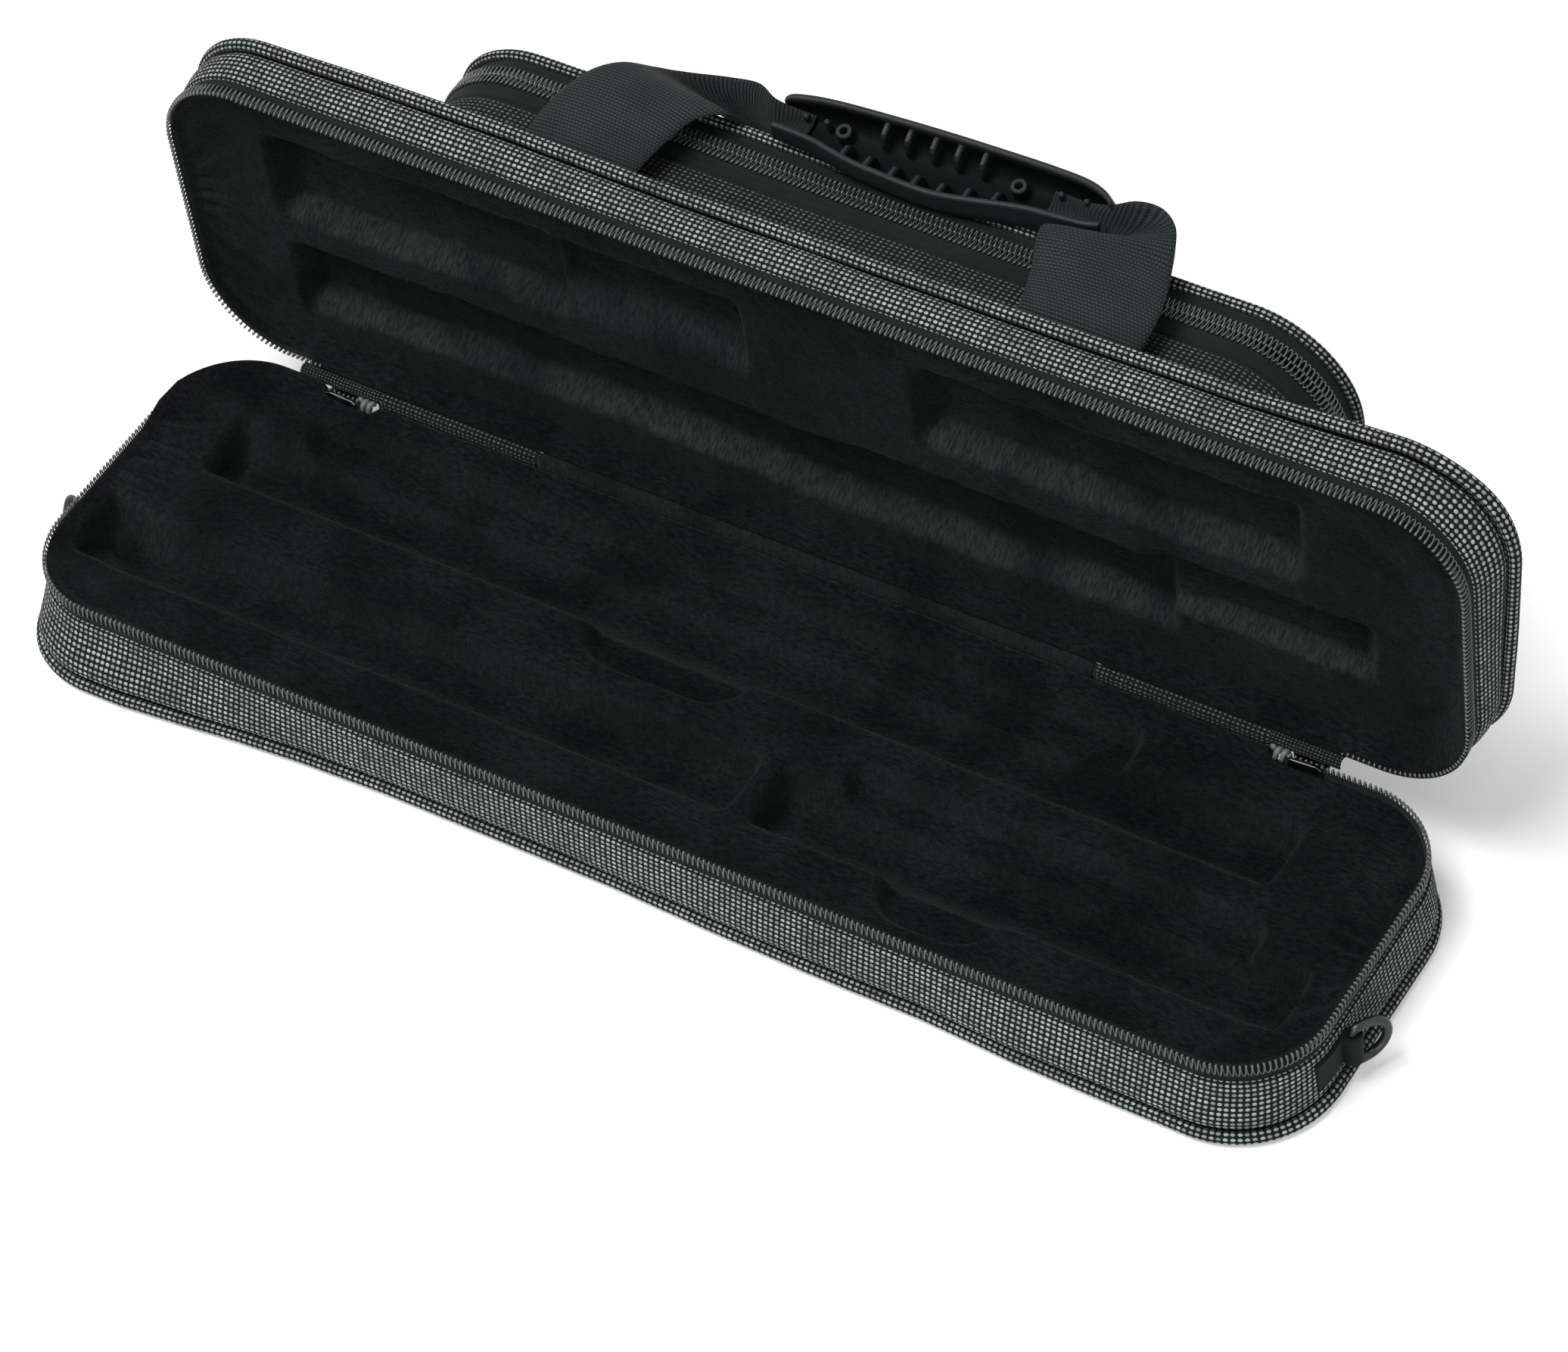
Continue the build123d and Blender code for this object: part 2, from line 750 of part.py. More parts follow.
def make_grip_rivets():
    """Rivets that fasten the webbing's ends to the grip's bosses."""
    with BuildPart() as grip_rivets:
        with BuildSketch(grip_frame.offset(grip_strap_depth)):
            with Locations(*((x, 0) for x in rivet_places)):
                Circle(rivet_radius)
        extrude(amount=grip_depth - grip_strap_depth)
        with BuildSketch(grip_frame.offset(grip_strap_depth - rivet_head_thickness)):
            with Locations(*((x, 0) for x in rivet_places)):
                Circle(rivet_head_radius)
        extrude(amount=rivet_head_thickness)
    grip_rivets.part.label = "grip_rivets"
    export_step(grip_rivets.part, "parts/grip_rivets.step")


# ---------------------------------------------------------------- shoulder strap rings
def make_ring_tab(name, side):
    """Webbing tab sewn along the end wall, looped round the ring's bar."""
    bar_x = side * ring_bar_x
    with BuildPart() as tab:
        with BuildSketch(Plane.XY.offset(ring_z - tab_width / 2)):
            case_ring(-tab_thickness, tab_thickness)
            with Locations((side * case_length / 2, ring_y - tab_length / 2)):
                Rectangle(2 * corner_radius, tab_length, mode=Mode.INTERSECT)
            with Locations((bar_x, ring_y)):
                Circle(ring_wire_radius + pin_play + tab_thickness)
                Circle(ring_wire_radius + pin_play, mode=Mode.SUBTRACT)
        extrude(amount=tab_width)
    tab.part.label = name
    export_step(tab.part, f"parts/{name}.step")


def make_shoulder_ring(name, side):
    """D-shaped wire ring: straight bar in the tab, bow swung out from the wall."""
    bow_radius = ring_bar_length / 2
    straight = ring_reach - bow_radius
    bend = ring_bend_radius
    turn = radians(90 - side * ring_rest_angle)
    ring_plane = Plane(
        origin=(side * ring_bar_x, ring_y, ring_z),
        x_dir=(cos(turn), sin(turn), 0),
        z_dir=(sin(turn), -cos(turn), 0),
    )
    with BuildPart() as ring:
        with BuildLine(ring_plane) as route:
            Line((0, bend - bow_radius), (0, bow_radius - bend))
            RadiusArc((0, bow_radius - bend), (bend, bow_radius), bend)
            Line((bend, bow_radius), (straight, bow_radius))
            ThreePointArc(
                (straight, bow_radius), (ring_reach, 0), (straight, -bow_radius)
            )
            Line((straight, -bow_radius), (bend, -bow_radius))
            RadiusArc((bend, -bow_radius), (0, bend - bow_radius), bend)
        with BuildSketch(Plane(origin=route.line @ 0, z_dir=route.line % 0)):
            Circle(ring_wire_radius)
        sweep(path=route.wire())
    ring.part.label = name
    export_step(ring.part, f"parts/{name}.step")


# ---------------------------------------------------------------- zip sliders
def bail(plane):
    """Ears and bar that hold a pull: plane lies on the slider's face, z out of it."""
    ear_x = (bail_inner_width + bail_ear_thickness) / 2
    ear_reach = bail_stand_off + bail_ear_height / 2
    with Locations(plane):
        with Locations((ear_x, 0, 0), (-ear_x, 0, 0)):
            Box(
                bail_ear_thickness,
                bail_ear_height,
                ear_reach,
                align=(Align.CENTER, Align.CENTER, Align.MIN),
            )
        with Locations((0, 0, bail_stand_off)):
            Cylinder(bail_bar_radius, 2 * ear_x, rotation=(0, 90, 0))


def zip_slider_face(side):
    """Outer face of a main slider, where its bail stands."""
    return Plane(
        origin=(
            side * slider_x,
            case_width / 2 + slider_play + slider_plate,
            slider_top - bail_drop,
        ),
        x_dir=(1, 0, 0),
        z_dir=(0, 1, 0),
    )


def make_zip_slider(name, side):
    """Slider parked where the zip ends: it wraps the base's coil from above."""
    outer_face = case_width / 2 + slider_play
    inner_face = case_width / 2 - coil_thickness - slider_play
    inner_height = slider_bridge + 2 * slider_play + coil_height
    with BuildPart() as slider:
        with BuildSketch(Plane.YZ.offset(side * slider_x - slider_length / 2)):
            with Locations((outer_face, slider_top)):
                Rectangle(slider_plate, slider_height, align=(Align.MIN, Align.MAX))
            with Locations((inner_face, slider_top)):
                Rectangle(slider_plate, inner_height, align=(Align.MAX, Align.MAX))
            with Locations((inner_face - slider_plate, slider_top)):
                Rectangle(
                    outer_face - inner_face + 2 * slider_plate,
                    slider_bridge,
                    align=(Align.MIN, Align.MAX),
                )
        extrude(amount=slider_length)
        bail(zip_slider_face(side))
    slider.part.label = name
    export_step(slider.part, f"parts/{name}.step")


def pocket_slider_face():
    """Outer face of the pocket's slider, on the pocket's hinge side."""
    face_v = pocket_width / 2 + pocket_coil_proud + slider_play + slider_plate
    return Plane(
        origin=lid_side(-pocket_slider_x).from_local_coords(
            (face_v, lid_depth + pocket_split)
        ),
        x_dir=lid.frame.x_dir,
        z_dir=lid.frame.y_dir,
    )


def make_pocket_slider():
    """Slider parked at the end of the pocket's zip, clipped over the meshed coils."""
    face_v = pocket_width / 2 + pocket_coil_proud + slider_play
    cover = 2 * (pocket_coil_height + slider_play)
    with BuildPart() as pocket_slider:
        with BuildSketch(lid_side(-pocket_slider_x - slider_length / 2)):
            with Locations((face_v, lid_depth + pocket_split)):
                Rectangle(
                    slider_plate, cover + 2 * slider_plate, align=(Align.MIN, Align.CENTER)
                )
            for side in (-1, 1):
                flange_w = pocket_split + side * (cover + slider_plate) / 2
                with Locations((face_v, lid_depth + flange_w)):
                    Rectangle(
                        pocket_coil_proud, slider_plate, align=(Align.MAX, Align.CENTER)
                    )
        extrude(amount=slider_length)
        bail(pocket_slider_face())
    pocket_slider.part.label = "pocket_slider"
    export_step(pocket_slider.part, "parts/pocket_slider.step")


def make_pull(name, bar, hang, length):
    """Pull tab on a bail's bar, hanging in the direction given."""
    eye_radius = bail_bar_radius + pin_play + pull_eye_wall
    neck_length = hypot(bail_stand_off, bail_ear_height / 2) + soft_gap
    neck_width = bail_inner_width - 2 * pull_side_play
    along = Vector(1, 0, 0)
    pull_plane = Plane(origin=bar, x_dir=along, z_dir=along.cross(Vector(hang)))
    with BuildPart(pull_plane) as pull:
        with BuildSketch(pull_plane):
            Rectangle(
                neck_width, neck_length + pull_corner, align=(Align.CENTER, Align.MIN)
            )
            with Locations((0, neck_length)):
                RectangleRounded(
                    pull_width,
                    length - neck_length,
                    pull_corner,
                    align=(Align.CENTER, Align.MIN),
                )
        extrude(amount=pull_thickness / 2, both=True)
        Cylinder(eye_radius, neck_width, rotation=(0, 90, 0))
        Cylinder(
            bail_bar_radius + pin_play, neck_width, rotation=(0, 90, 0), mode=Mode.SUBTRACT
        )
    pull.part.label = name
    export_step(pull.part, f"parts/{name}.step")


# ---------------------------------------------------------------- the whole case
def main():
    os.makedirs("parts", exist_ok=True)

    for half in (base, lid):
        make_wall_cloth(half)
        make_outer_panel(half)
        make_piping(half)
        make_wall_board(half)
        make_zip_tape(half)
    make_zip_coil(base, zip_end)
    make_zip_coil(lid, lid_coil_end)
    make_base_core()
    make_base_lining()
    make_lid_core()
    make_lid_lining()

    make_end_stops()
    make_hinge_strip("hinge_cloth_left", -hinge_half, -hinge_cover_half)
    make_hinge_strip("hinge_plush_cover", -hinge_cover_half, hinge_cover_half)
    make_hinge_strip("hinge_cloth_right", hinge_cover_half, hinge_half)
    make_lid_hinge_flap()

    make_pocket_gusset()
    make_pocket_hinge_cloth()
    make_pocket_tape("pocket_tape_inner", pocket_tape_start, pocket_tape_inner_height)
    make_pocket_tape("pocket_tape_outer", pocket_coil_end, pocket_tape_outer_height)
    make_pocket_coil("pocket_coil_inner", pocket_coil_start)
    make_pocket_coil("pocket_coil_outer", pocket_split)
    make_pocket_piping()
    make_pocket_panel()

    make_strap_anchor("strap_anchor_left", -strap_x)
    make_strap_anchor("strap_anchor_right", strap_x)
    make_strap_band(
        "strap_band_left", -strap_x, left_grip_end + grip_strap_in, rivet_places[0]
    )
    make_strap_band(
        "strap_band_right", strap_x, right_grip_end - grip_strap_in, rivet_places[1]
    )
    make_handle_grip()
    make_grip_rivets()

    make_pocket_slider()
    pocket_face = pocket_slider_face()
    make_pull(
        "pocket_pull",
        pocket_face.origin + pocket_face.z_dir * bail_stand_off,
        pocket_face.z_dir,
        pocket_pull_length,
    )
    for word, side in (("left", -1), ("right", 1)):
        make_ring_tab(f"ring_tab_{word}", side)
        make_shoulder_ring(f"shoulder_ring_{word}", side)
        make_zip_slider(f"zip_slider_{word}", side)
        face = zip_slider_face(side)
        make_pull(
            f"zip_pull_{word}", face.origin + face.z_dir * bail_stand_off, (0, 0, -1), pull_length
        )


main()
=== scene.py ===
"""Looks of the soft flute case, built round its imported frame. Sizes are in millimetres."""
import math

import bpy
import numpy as np
from mathutils import Matrix


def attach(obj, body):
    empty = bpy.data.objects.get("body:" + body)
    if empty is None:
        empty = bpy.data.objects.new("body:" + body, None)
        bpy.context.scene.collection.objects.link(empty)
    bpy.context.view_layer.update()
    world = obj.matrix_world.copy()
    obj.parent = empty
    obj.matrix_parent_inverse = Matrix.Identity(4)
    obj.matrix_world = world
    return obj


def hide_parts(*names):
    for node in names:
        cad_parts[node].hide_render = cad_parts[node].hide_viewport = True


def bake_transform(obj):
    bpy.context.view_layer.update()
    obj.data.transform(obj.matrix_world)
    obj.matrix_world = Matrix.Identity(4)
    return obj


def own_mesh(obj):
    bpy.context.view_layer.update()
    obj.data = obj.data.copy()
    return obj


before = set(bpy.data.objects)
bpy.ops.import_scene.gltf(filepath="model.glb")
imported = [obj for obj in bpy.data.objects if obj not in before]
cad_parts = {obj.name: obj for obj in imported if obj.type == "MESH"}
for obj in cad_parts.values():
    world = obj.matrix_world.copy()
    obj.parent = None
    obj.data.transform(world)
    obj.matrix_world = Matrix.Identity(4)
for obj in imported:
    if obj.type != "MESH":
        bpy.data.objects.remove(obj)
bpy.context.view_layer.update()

# ---- Sizes of the frame that the pieces follow
CASE = (212.0, 53.5, 28.0)  # half length, half width, corner of the case
POCKET = (148.0, 43.0, 31.0)
BASE_HEIGHT = 29.0
LID_DEPTH = 23.0
HINGE_Y = 56.0
LID_ZERO = 85.0
STOP_X = 151.0
STRIP_X = 94.0  # the plain hinge cloth runs from here to the stops
COIL_X = 156.0
LID_COIL_X = 172.0
POCKET_COIL_X = 90.0
RING_TAB_V = -25.5

# ---- Sizes read off the photograph
DASH = (1.80, 1.55)  # one dash of the cloth, along and across its rows
COIL_PITCH = 1.66
POCKET_COIL_PITCH = 1.6
TURN_POINTS, RING_POINTS = 14, 5  # points on one turn of the wire, and round the wire
WIRE = 0.27  # radius of the coil's wire
WIRE_HEAD = 0.15  # what the wire gains at its heads
PIPING_RADIUS = 2.05
PIPING_SEAT = 2.35  # from the face of a panel to the middle of its piping
PIPING_DASH = (DASH[0], 12.57 / 8)  # a whole number of dashes goes round each cord
POCKET_PIPING_DASH = (DASH[0], 10.05 / 7)
SKIN_TOP = 7.5  # depth at which the outer skin starts to lean out
PANEL_THICK = 1.2
PLUSH_INSET = 1.75
PLUSH_DEEPEST = 20.0
HOLLOW_LIP = 2.6
CHANNEL_LIP = 3.0
TROUGH_RADIUS = 11.0
TROUGH_DROP = 2.3  # from the plush down to the axis of a trough
ROLL_RADIUS = 2.2
BRIDGE_OUTER, BRIDGE_INNER = 2.15, 1.75  # radii round the hinge line
ROLL_DASH = (1.55, 1.35)
RIDGE_HIGHLIGHT = 0.55  # UV y of the plush on the hinge ridge: painted highlight there at part strength
SLIDER_X = 163.0
STRAP_WIDTH = 38.0
STRAP_THICK = 1.6
WEB_RIB = 1.15


# ======== helpers
def smooth(a, b, x):
    t = np.clip((x - a) / (b - a), 0, 1)
    return t * t * (3 - 2 * t)


def lattice(seed, x, y):
    """Soft noise from -1 to 1, one hill for each unit of x and y."""
    g = np.random.default_rng(seed).uniform(-1, 1, (257, 257))
    xi, yi = np.floor(x).astype(int), np.floor(y).astype(int)
    fx, fy = smooth(0, 1, x - xi), smooth(0, 1, y - yi)
    a, b, c, d = (g[(xi + i) % 257, (yi + j) % 257] for j in (0, 1) for i in (0, 1))
    return (a * (1 - fx) + b * fx) * (1 - fy) + (c * (1 - fx) + d * fx) * fy


def spread(*parts):
    return np.broadcast_arrays(*(np.asarray(k, float) for k in parts))


def normed(vectors):
    return vectors / np.linalg.norm(vectors, axis=-1, keepdims=True)


def bell(x):
    return np.exp(-0.5 * x**2)


def on_base(x, v, w):
    return np.stack(spread(x, v, BASE_HEIGHT - w), -1)


def on_lid(x, v, w):
    return np.stack(spread(x, HINGE_Y + w, LID_ZERO - v), -1)


BASE_FRONT = ((-212, -184, -170, -150, -130, -110, -80, 0, 30, 60, 100, 130, 160, 184, 212),
              (6.2, 6.6, 6.4, 4.6, 2.4, 0.8, -0.3, -0.3, 0.8, 1.3, 1.2, 2.8, 3.2, 3.0, 2.6))
LID_TOP = ((-212, -184, -150, -100, -40, 60, 140, 184, 212),
           (0.6, 1.2, 2.2, 2.4, 0.8, 0.4, 1.2, 4.0, 4.4))


def base_shell(x, v, w):
    """Base frame for the outer skin, which leans out towards its piping at the front corners."""
    low = smooth(SKIN_TOP, 24, w)
    front = np.interp(x, *BASE_FRONT) * smooth(-14, -50, v)
    ends = np.where(x < 0, 1.6, 0.9) * smooth(186, 212, abs(x)) * smooth(50, 20, v)
    return on_base(x + np.sign(x) * ends * low, v - front * low, w)


def lid_shell(x, v, w):
    """Lid frame for the outer skin; the far end stands out most."""
    low = smooth(SKIN_TOP, 20, w)
    top = np.interp(x, *LID_TOP) * smooth(-14, -50, v)
    right = np.interp(v, (-53, -30, 0, 30, 53), (4.6, 4.2, 2.6, 0.4, -1.2)) * smooth(186, 212, x)
    return on_lid(x + right * low, v - top * low, w)


def pocket_bulge(x, v):
    """How far the pocket's padded front stands out."""
    return 0.8 * smooth(POCKET[1], 0, abs(v)) + 0.5 * lattice(2, x / 60, v / 40)


def on_pocket(x, v, w):
    return on_lid(x, v, LID_DEPTH + w + pocket_bulge(x, v) * smooth(3, 26, w))


def link(name, data, material=None):
    """Object for a mesh, lamp or camera, put into the scene."""
    if material:
        data.materials.append(material)
        data.update()
    thing = bpy.data.objects.new(name, data)
    bpy.context.scene.collection.objects.link(thing)
    return thing


def make_mesh(name, points, faces, uvs, material):
    """Mesh from points in millimetres; faces is a list of arrays, each with its own uvs."""
    flat = points.reshape(-1, 3) * 0.001
    quads = faces[0]
    a, b, c, d = (flat[quads[:, k]] for k in range(4))
    volume = np.einsum("ij,ij->i", a, np.cross(b, c) + np.cross(c, d)).sum()
    turn = -1 if volume < 0 else 1
    face_list, uv_list = [], []
    for block, block_uv in zip(faces, uvs):
        face_list += block[:, ::turn].tolist()
        uv_list.append(block_uv[:, ::turn].reshape(-1, 2))
    mesh = bpy.data.meshes.new(name)
    mesh.from_pydata(flat.tolist(), [], face_list)
    layer = mesh.uv_layers.new(name="UVMap")
    layer.data.foreach_set("uv", np.concatenate(uv_list).astype(np.float32).ravel())
    mesh.polygons.foreach_set("use_smooth", np.ones(len(mesh.polygons), bool))
    return link(name, mesh, material)


def quads_over(n, m, loop_u=False, loop_v=False):
    """Row and column of each quad over an n by m table, and the numbers of its four corners."""
    i, j = (k.ravel() for k in np.meshgrid(np.arange(n - (not loop_u)), np.arange(m - (not loop_v)),
                                           indexing="ij"))
    i2, j2 = (i + 1) % n, (j + 1) % m
    return i, j, np.stack([i * m + j, i2 * m + j, i2 * m + j2, i * m + j2], -1)


def grid(name, points, material, u=None, v=None, loop_u=False, loop_v=False):
    """Quads over a table of points; the open ends of a tube are capped."""
    n, m = points.shape[:2]
    i, j, quads = quads_over(n, m, loop_u, loop_v)
    u = np.arange(n + loop_u) if u is None else u
    v = np.arange(m + loop_v) if v is None else v
    uv = np.stack(spread(np.reshape(u, (-1, 1)), np.reshape(v, (1, -1))), -1)
    corner = np.stack([uv[i, j], uv[i + 1, j], uv[i + 1, j + 1], uv[i, j + 1]], 1)
    faces, uvs = [quads], [corner]
    if loop_v and not loop_u:
        for row, way in ((0, 1), (n - 1, -1)):  # the two caps
            faces.append((row * m + np.arange(m))[None, ::way])
            uvs.append(uv[row, :m][None, ::way])
    return make_mesh(name, points, faces, uvs, material)


def trace(shape, s):
    """Points and outward normals at distances s along a rounded outline.

    It starts in the middle of the hinge side and leaves towards +x."""
    half_l, half_w, r = shape
    a, b, q = half_l - r, half_w - r, math.pi * r / 2
    parts = [a, q, 2 * b, q, 2 * a, q, 2 * b, q, a]
    s = np.asarray(s, float) % sum(parts)
    p, n = np.zeros(s.shape + (2,)), np.zeros(s.shape + (2,))
    start = 0.0
    sides = {0: (0, half_w, 1, 0), 2: (half_l, b, 0, -1), 4: (a, -half_w, -1, 0),
             6: (-half_l, -b, 0, 1), 8: (-a, half_w, 1, 0)}
    corners = {1: (a, b, 90), 3: (a, -b, 0), 5: (-a, -b, -90), 7: (-a, b, 180)}
    for k, length in enumerate(parts):
        inside = (s >= start) & (s <= start + length)
        t = s[inside] - start
        if k in sides:
            x, y, dx, dy = sides[k]
            x, y, nx, ny = spread(x + dx * t, y + dy * t, -dy, dx)
        else:
            cx, cy, angle = corners[k]
            turned = math.radians(angle) - t / r
            nx, ny = np.cos(turned), np.sin(turned)
            x, y = cx + r * nx, cy + r * ny
        p[inside] = np.stack([x, y], -1)
        n[inside] = np.stack([nx, ny], -1)
        start += length
    return p, n


def around(shape):
    half_l, half_w, r = shape
    return 4 * (half_l - r) + 4 * (half_w - r) + 2 * math.pi * r


def seam_lengths(outline):
    """Distances along a closed outline, from its first point back to it."""
    steps = np.diff(np.vstack([outline, outline[:1]]), axis=0)
    return np.concatenate([[0], np.cumsum(np.hypot(*steps.T))])


def sweep(name, shape, place, profile, material, span=None, step=2.0, unit=(1.0, 1.0)):
    """Closed profile of (outward, depth) points carried round an outline.

    profile is a list of points or a function of (distance, x, v) that returns two tables."""
    total = around(shape)
    if span is None:
        count = int(round(total / step))
        s = np.linspace(0, total, count, endpoint=False)
        u = np.linspace(0, total, count + 1) * round(total / unit[0]) / total
    else:
        count = int(round((span[1] - span[0]) / step))
        s = np.linspace(span[0], span[1], count + 1)
        u = s / unit[0]
    p, n = trace(shape, s)
    if callable(profile):
        o, w = profile(s, p[:, 0], p[:, 1])
    else:
        o, w = (np.repeat(np.array(k)[None], len(s), 0) for k in zip(*profile))
    points = place(p[:, :1] + n[:, :1] * o, p[:, 1:] + n[:, 1:] * o, w)
    middle = len(s) // 2
    v = seam_lengths(np.stack([o[middle], w[middle]], -1)) / unit[1]
    return grid(name, points, material, u, v, loop_u=span is None, loop_v=True)


def coil(name, shape, place, material, span, centre, half, pitch=COIL_PITCH, radius=WIRE,
         head=WIRE_HEAD, phase=0.0, side=1, loops=1.0):
    """Zip coil: one wire wound flat along the outline, with round loops on its tape and tight heads.

    side 1 puts the heads at the low depth."""
    turns = (span[1] - span[0]) / pitch
    theta = np.linspace(0, 2 * math.pi * turns, int(turns * TURN_POINTS)) + phase
    s = span[0] + (theta - phase) / (2 * math.pi) * pitch - 0.18 * pitch * loops * np.sin(theta)
    p, n = trace(shape, s)
    o = centre[0] + half[0] * np.sin(theta)
    w = centre[1] - side * half[1] * np.cos(theta)
    at = place(p[:, 0] + n[:, 0] * o, p[:, 1] + n[:, 1] * o, w)
    along = normed(place(*trace(shape, s + 0.5)[0].T, 0 * s) - place(*p.T, 0 * s))
    tangent = normed(np.gradient(at, axis=0))
    one = normed(along - (along * tangent).sum(1)[:, None] * tangent)
    two = np.cross(tangent, one)
    thick = radius + head * np.clip(np.cos(theta), 0, 1) ** 2
    a = np.arange(RING_POINTS) * 2 * math.pi / RING_POINTS
    points = at[:, None] + thick[:, None, None] * (
        np.cos(a)[None, :, None] * one[:, None] + np.sin(a)[None, :, None] * two[:, None])
    return grid(name, points, material, u=s / pitch, loop_v=True)


def rounded_half(shape, inset, x):
    """Half width of the inset outline at x."""
    half_l, half_w, r = (k - inset for k in shape)
    t = np.clip((abs(x) - (half_l - r)) / r, 0, 1)
    return half_w - r + r * np.sqrt(1 - t * t)


def rrect(x, v, cx, cv, half_l, half_w, r):
    """Signed distance from a rounded rectangle, negative inside."""
    qx, qv = abs(x - cx) - (half_l - r), abs(v - cv) - (half_w - r)
    return np.hypot(np.maximum(qx, 0), np.maximum(qv, 0)) + np.minimum(np.maximum(qx, qv), 0) - r


def edge_distance(shape, inset, x, v):
    """Distance from the inset outline, inwards."""
    return -rrect(x, v, 0, 0, *(k - inset for k in shape))


def field(shape, inset, nx, nv):
    """Table of x and v that fills the inset outline right to its edge."""
    x = np.linspace(-1, 1, nx) * (shape[0] - inset)
    h = rounded_half(shape, inset, x)
    return np.repeat(x[:, None], nv, 1), h[:, None] * np.linspace(-1, 1, nv)[None, :]


def slab(name, x, v, w, thick, place, material, unit=(1.0, 1.0), second=None):
    """Closed sheet: w is its outer side, thick points inwards and second stands in for UV y."""
    top = place(x, v, w)
    under = place(x, v, w - thick)
    n, m = x.shape
    points = np.concatenate([top.reshape(-1, 3), under.reshape(-1, 3)])
    a = quads_over(n, m)[2]
    b = a[:, ::-1] + n * m
    ring = np.concatenate([np.arange(n) * m, (n - 1) * m + np.arange(1, m),
                           np.arange(n - 2, -1, -1) * m + m - 1, np.arange(m - 2, 0, -1)])
    nxt = np.roll(ring, -1)
    c = np.stack([nxt, ring, ring + n * m, nxt + n * m], -1)
    quads = np.concatenate([a, b, c])
    uv_y = v / unit[1] if second is None else second
    flat_uv = np.stack([x.ravel() / unit[0], uv_y.ravel()], -1)
    return make_mesh(name, points, [quads], [np.tile(flat_uv, (2, 1))[quads]], material)


def spline(points, count):
    """Smooth curve through points, evenly spread over them."""
    p = np.asarray(points, float)
    p = np.concatenate([[2 * p[0] - p[1]], p, [2 * p[-1] - p[-2]]])
    t = np.linspace(0, len(points) - 1, count)
    k = np.minimum(t.astype(int), len(points) - 2)
    f = (t - k)[:, None]
    a, b, c, d = p[k], p[k + 1], p[k + 2], p[k + 3]
    return 0.5 * (2 * b + (c - a) * f + (2 * a - 5 * b + 4 * c - d) * f**2
                  + (3 * b - a - 3 * c + d) * f**3)


def dress(piece, body, slot, *nodes):
    """Put a piece in the place of its nodes and on a body; slot is not used."""
    if nodes:
        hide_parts(*nodes)
    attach(piece, body)


# ======== materials
class Wires:
    """Node tree that is wired with short calls."""

    def __init__(self, tree):
        self.tree = tree

    def put(self, socket, value):
        if isinstance(value, bpy.types.NodeSocket):
            self.tree.links.new(value, socket)
        elif value is not None:
            socket.default_value = value

    def node(self, kind, inputs, out=0, **settings):
        """Output of a new node; inputs maps socket names or numbers to values."""
        node = self.tree.nodes.new("ShaderNode" + kind)
        for key, value in settings.items():
            setattr(node, key, value)
        for key, value in inputs.items():
            self.put(node.inputs[key], value)
        return node.outputs[out]

    def math(self, op, a, b=None, c=None):
        return self.node("Math", {0: a, 1: b, 2: c}, operation=op)

    def add(self, a, b):
        return self.math("ADD", a, b)

    def mul(self, a, b):
        return self.math("MULTIPLY", a, b)

    def wave(self, a, turns, shift=0.0):
        """Sine from 0 to 1 with that many waves for each unit."""
        inner = self.math("MULTIPLY_ADD", a, 2 * math.pi * turns, shift)
        return self.math("MULTIPLY_ADD", self.math("SINE", inner), 0.5, 0.5)

    def remap(self, value, a, b, c=0.0, d=1.0, kind="SMOOTHSTEP"):
        """Value carried from the range a to b into the range c to d."""
        inputs = {"Value": value, "From Min": a, "From Max": b, "To Min": c, "To Max": d}
        return self.node("MapRange", inputs, interpolation_type=kind)


class Net(Wires):
    """Material with its places, textures and colours."""

    def __init__(self, name, **fixed):
        self.material = bpy.data.materials.new(name)
        self.material.use_nodes = True
        super().__init__(self.material.node_tree)
        self.bsdf = self.tree.nodes["Principled BSDF"]
        for key, value in fixed.items():
            self.bsdf.inputs[key.replace("_", " ")].default_value = value
        self.places = self.tree.nodes.new("ShaderNodeTexCoord")

    def uv(self):
        return self.node("SeparateXYZ", {0: self.places.outputs["UV"]}, slice(2))

    def xyz(self):
        return self.node("SeparateXYZ", {0: self.places.outputs["Object"]}, slice(3))

    def join(self, x, y, z=0.0):
        return self.node("CombineXYZ", {0: x, 1: y, 2: z})

    def noise(self, scale, detail=2.0, where=None, rough=0.5):
        where = where or self.places.outputs["Object"]
        inputs = {"Vector": where, "Scale": scale, "Detail": detail, "Roughness": rough}
        return self.node("TexNoise", inputs, "Fac")

    def cells(self, where):
        return self.node("TexWhiteNoise", {"Vector": where}, "Value", noise_dimensions="2D")

    def mix(self, share, a, b):
        a, b = ((*k, 1.0) if isinstance(k, tuple) else k for k in (a, b))
        return self.node("Mix", {0: share, 6: a, 7: b}, 2, data_type="RGBA")

    def streaks(self, x, y, z, rough, detail=3):
        """Fine noise of x, y and z hills for each metre."""
        places = self.join(*(self.mul(k, scale) for k, scale in zip(self.xyz(), (x, y, z))))
        return self.noise(1.0, detail, places, rough)

    def finish(self, colour, height, distance, strength=1.0, rough=None):
        self.put(self.bsdf.inputs["Base Color"], colour)
        if height is not None:
            bump = {"Strength": strength, "Distance": distance * 0.001, "Height": height}
            self.put(self.bsdf.inputs["Normal"], self.node("Bump", bump))
        if rough is not None:
            self.put(self.bsdf.inputs["Roughness"], rough)
        return self.material


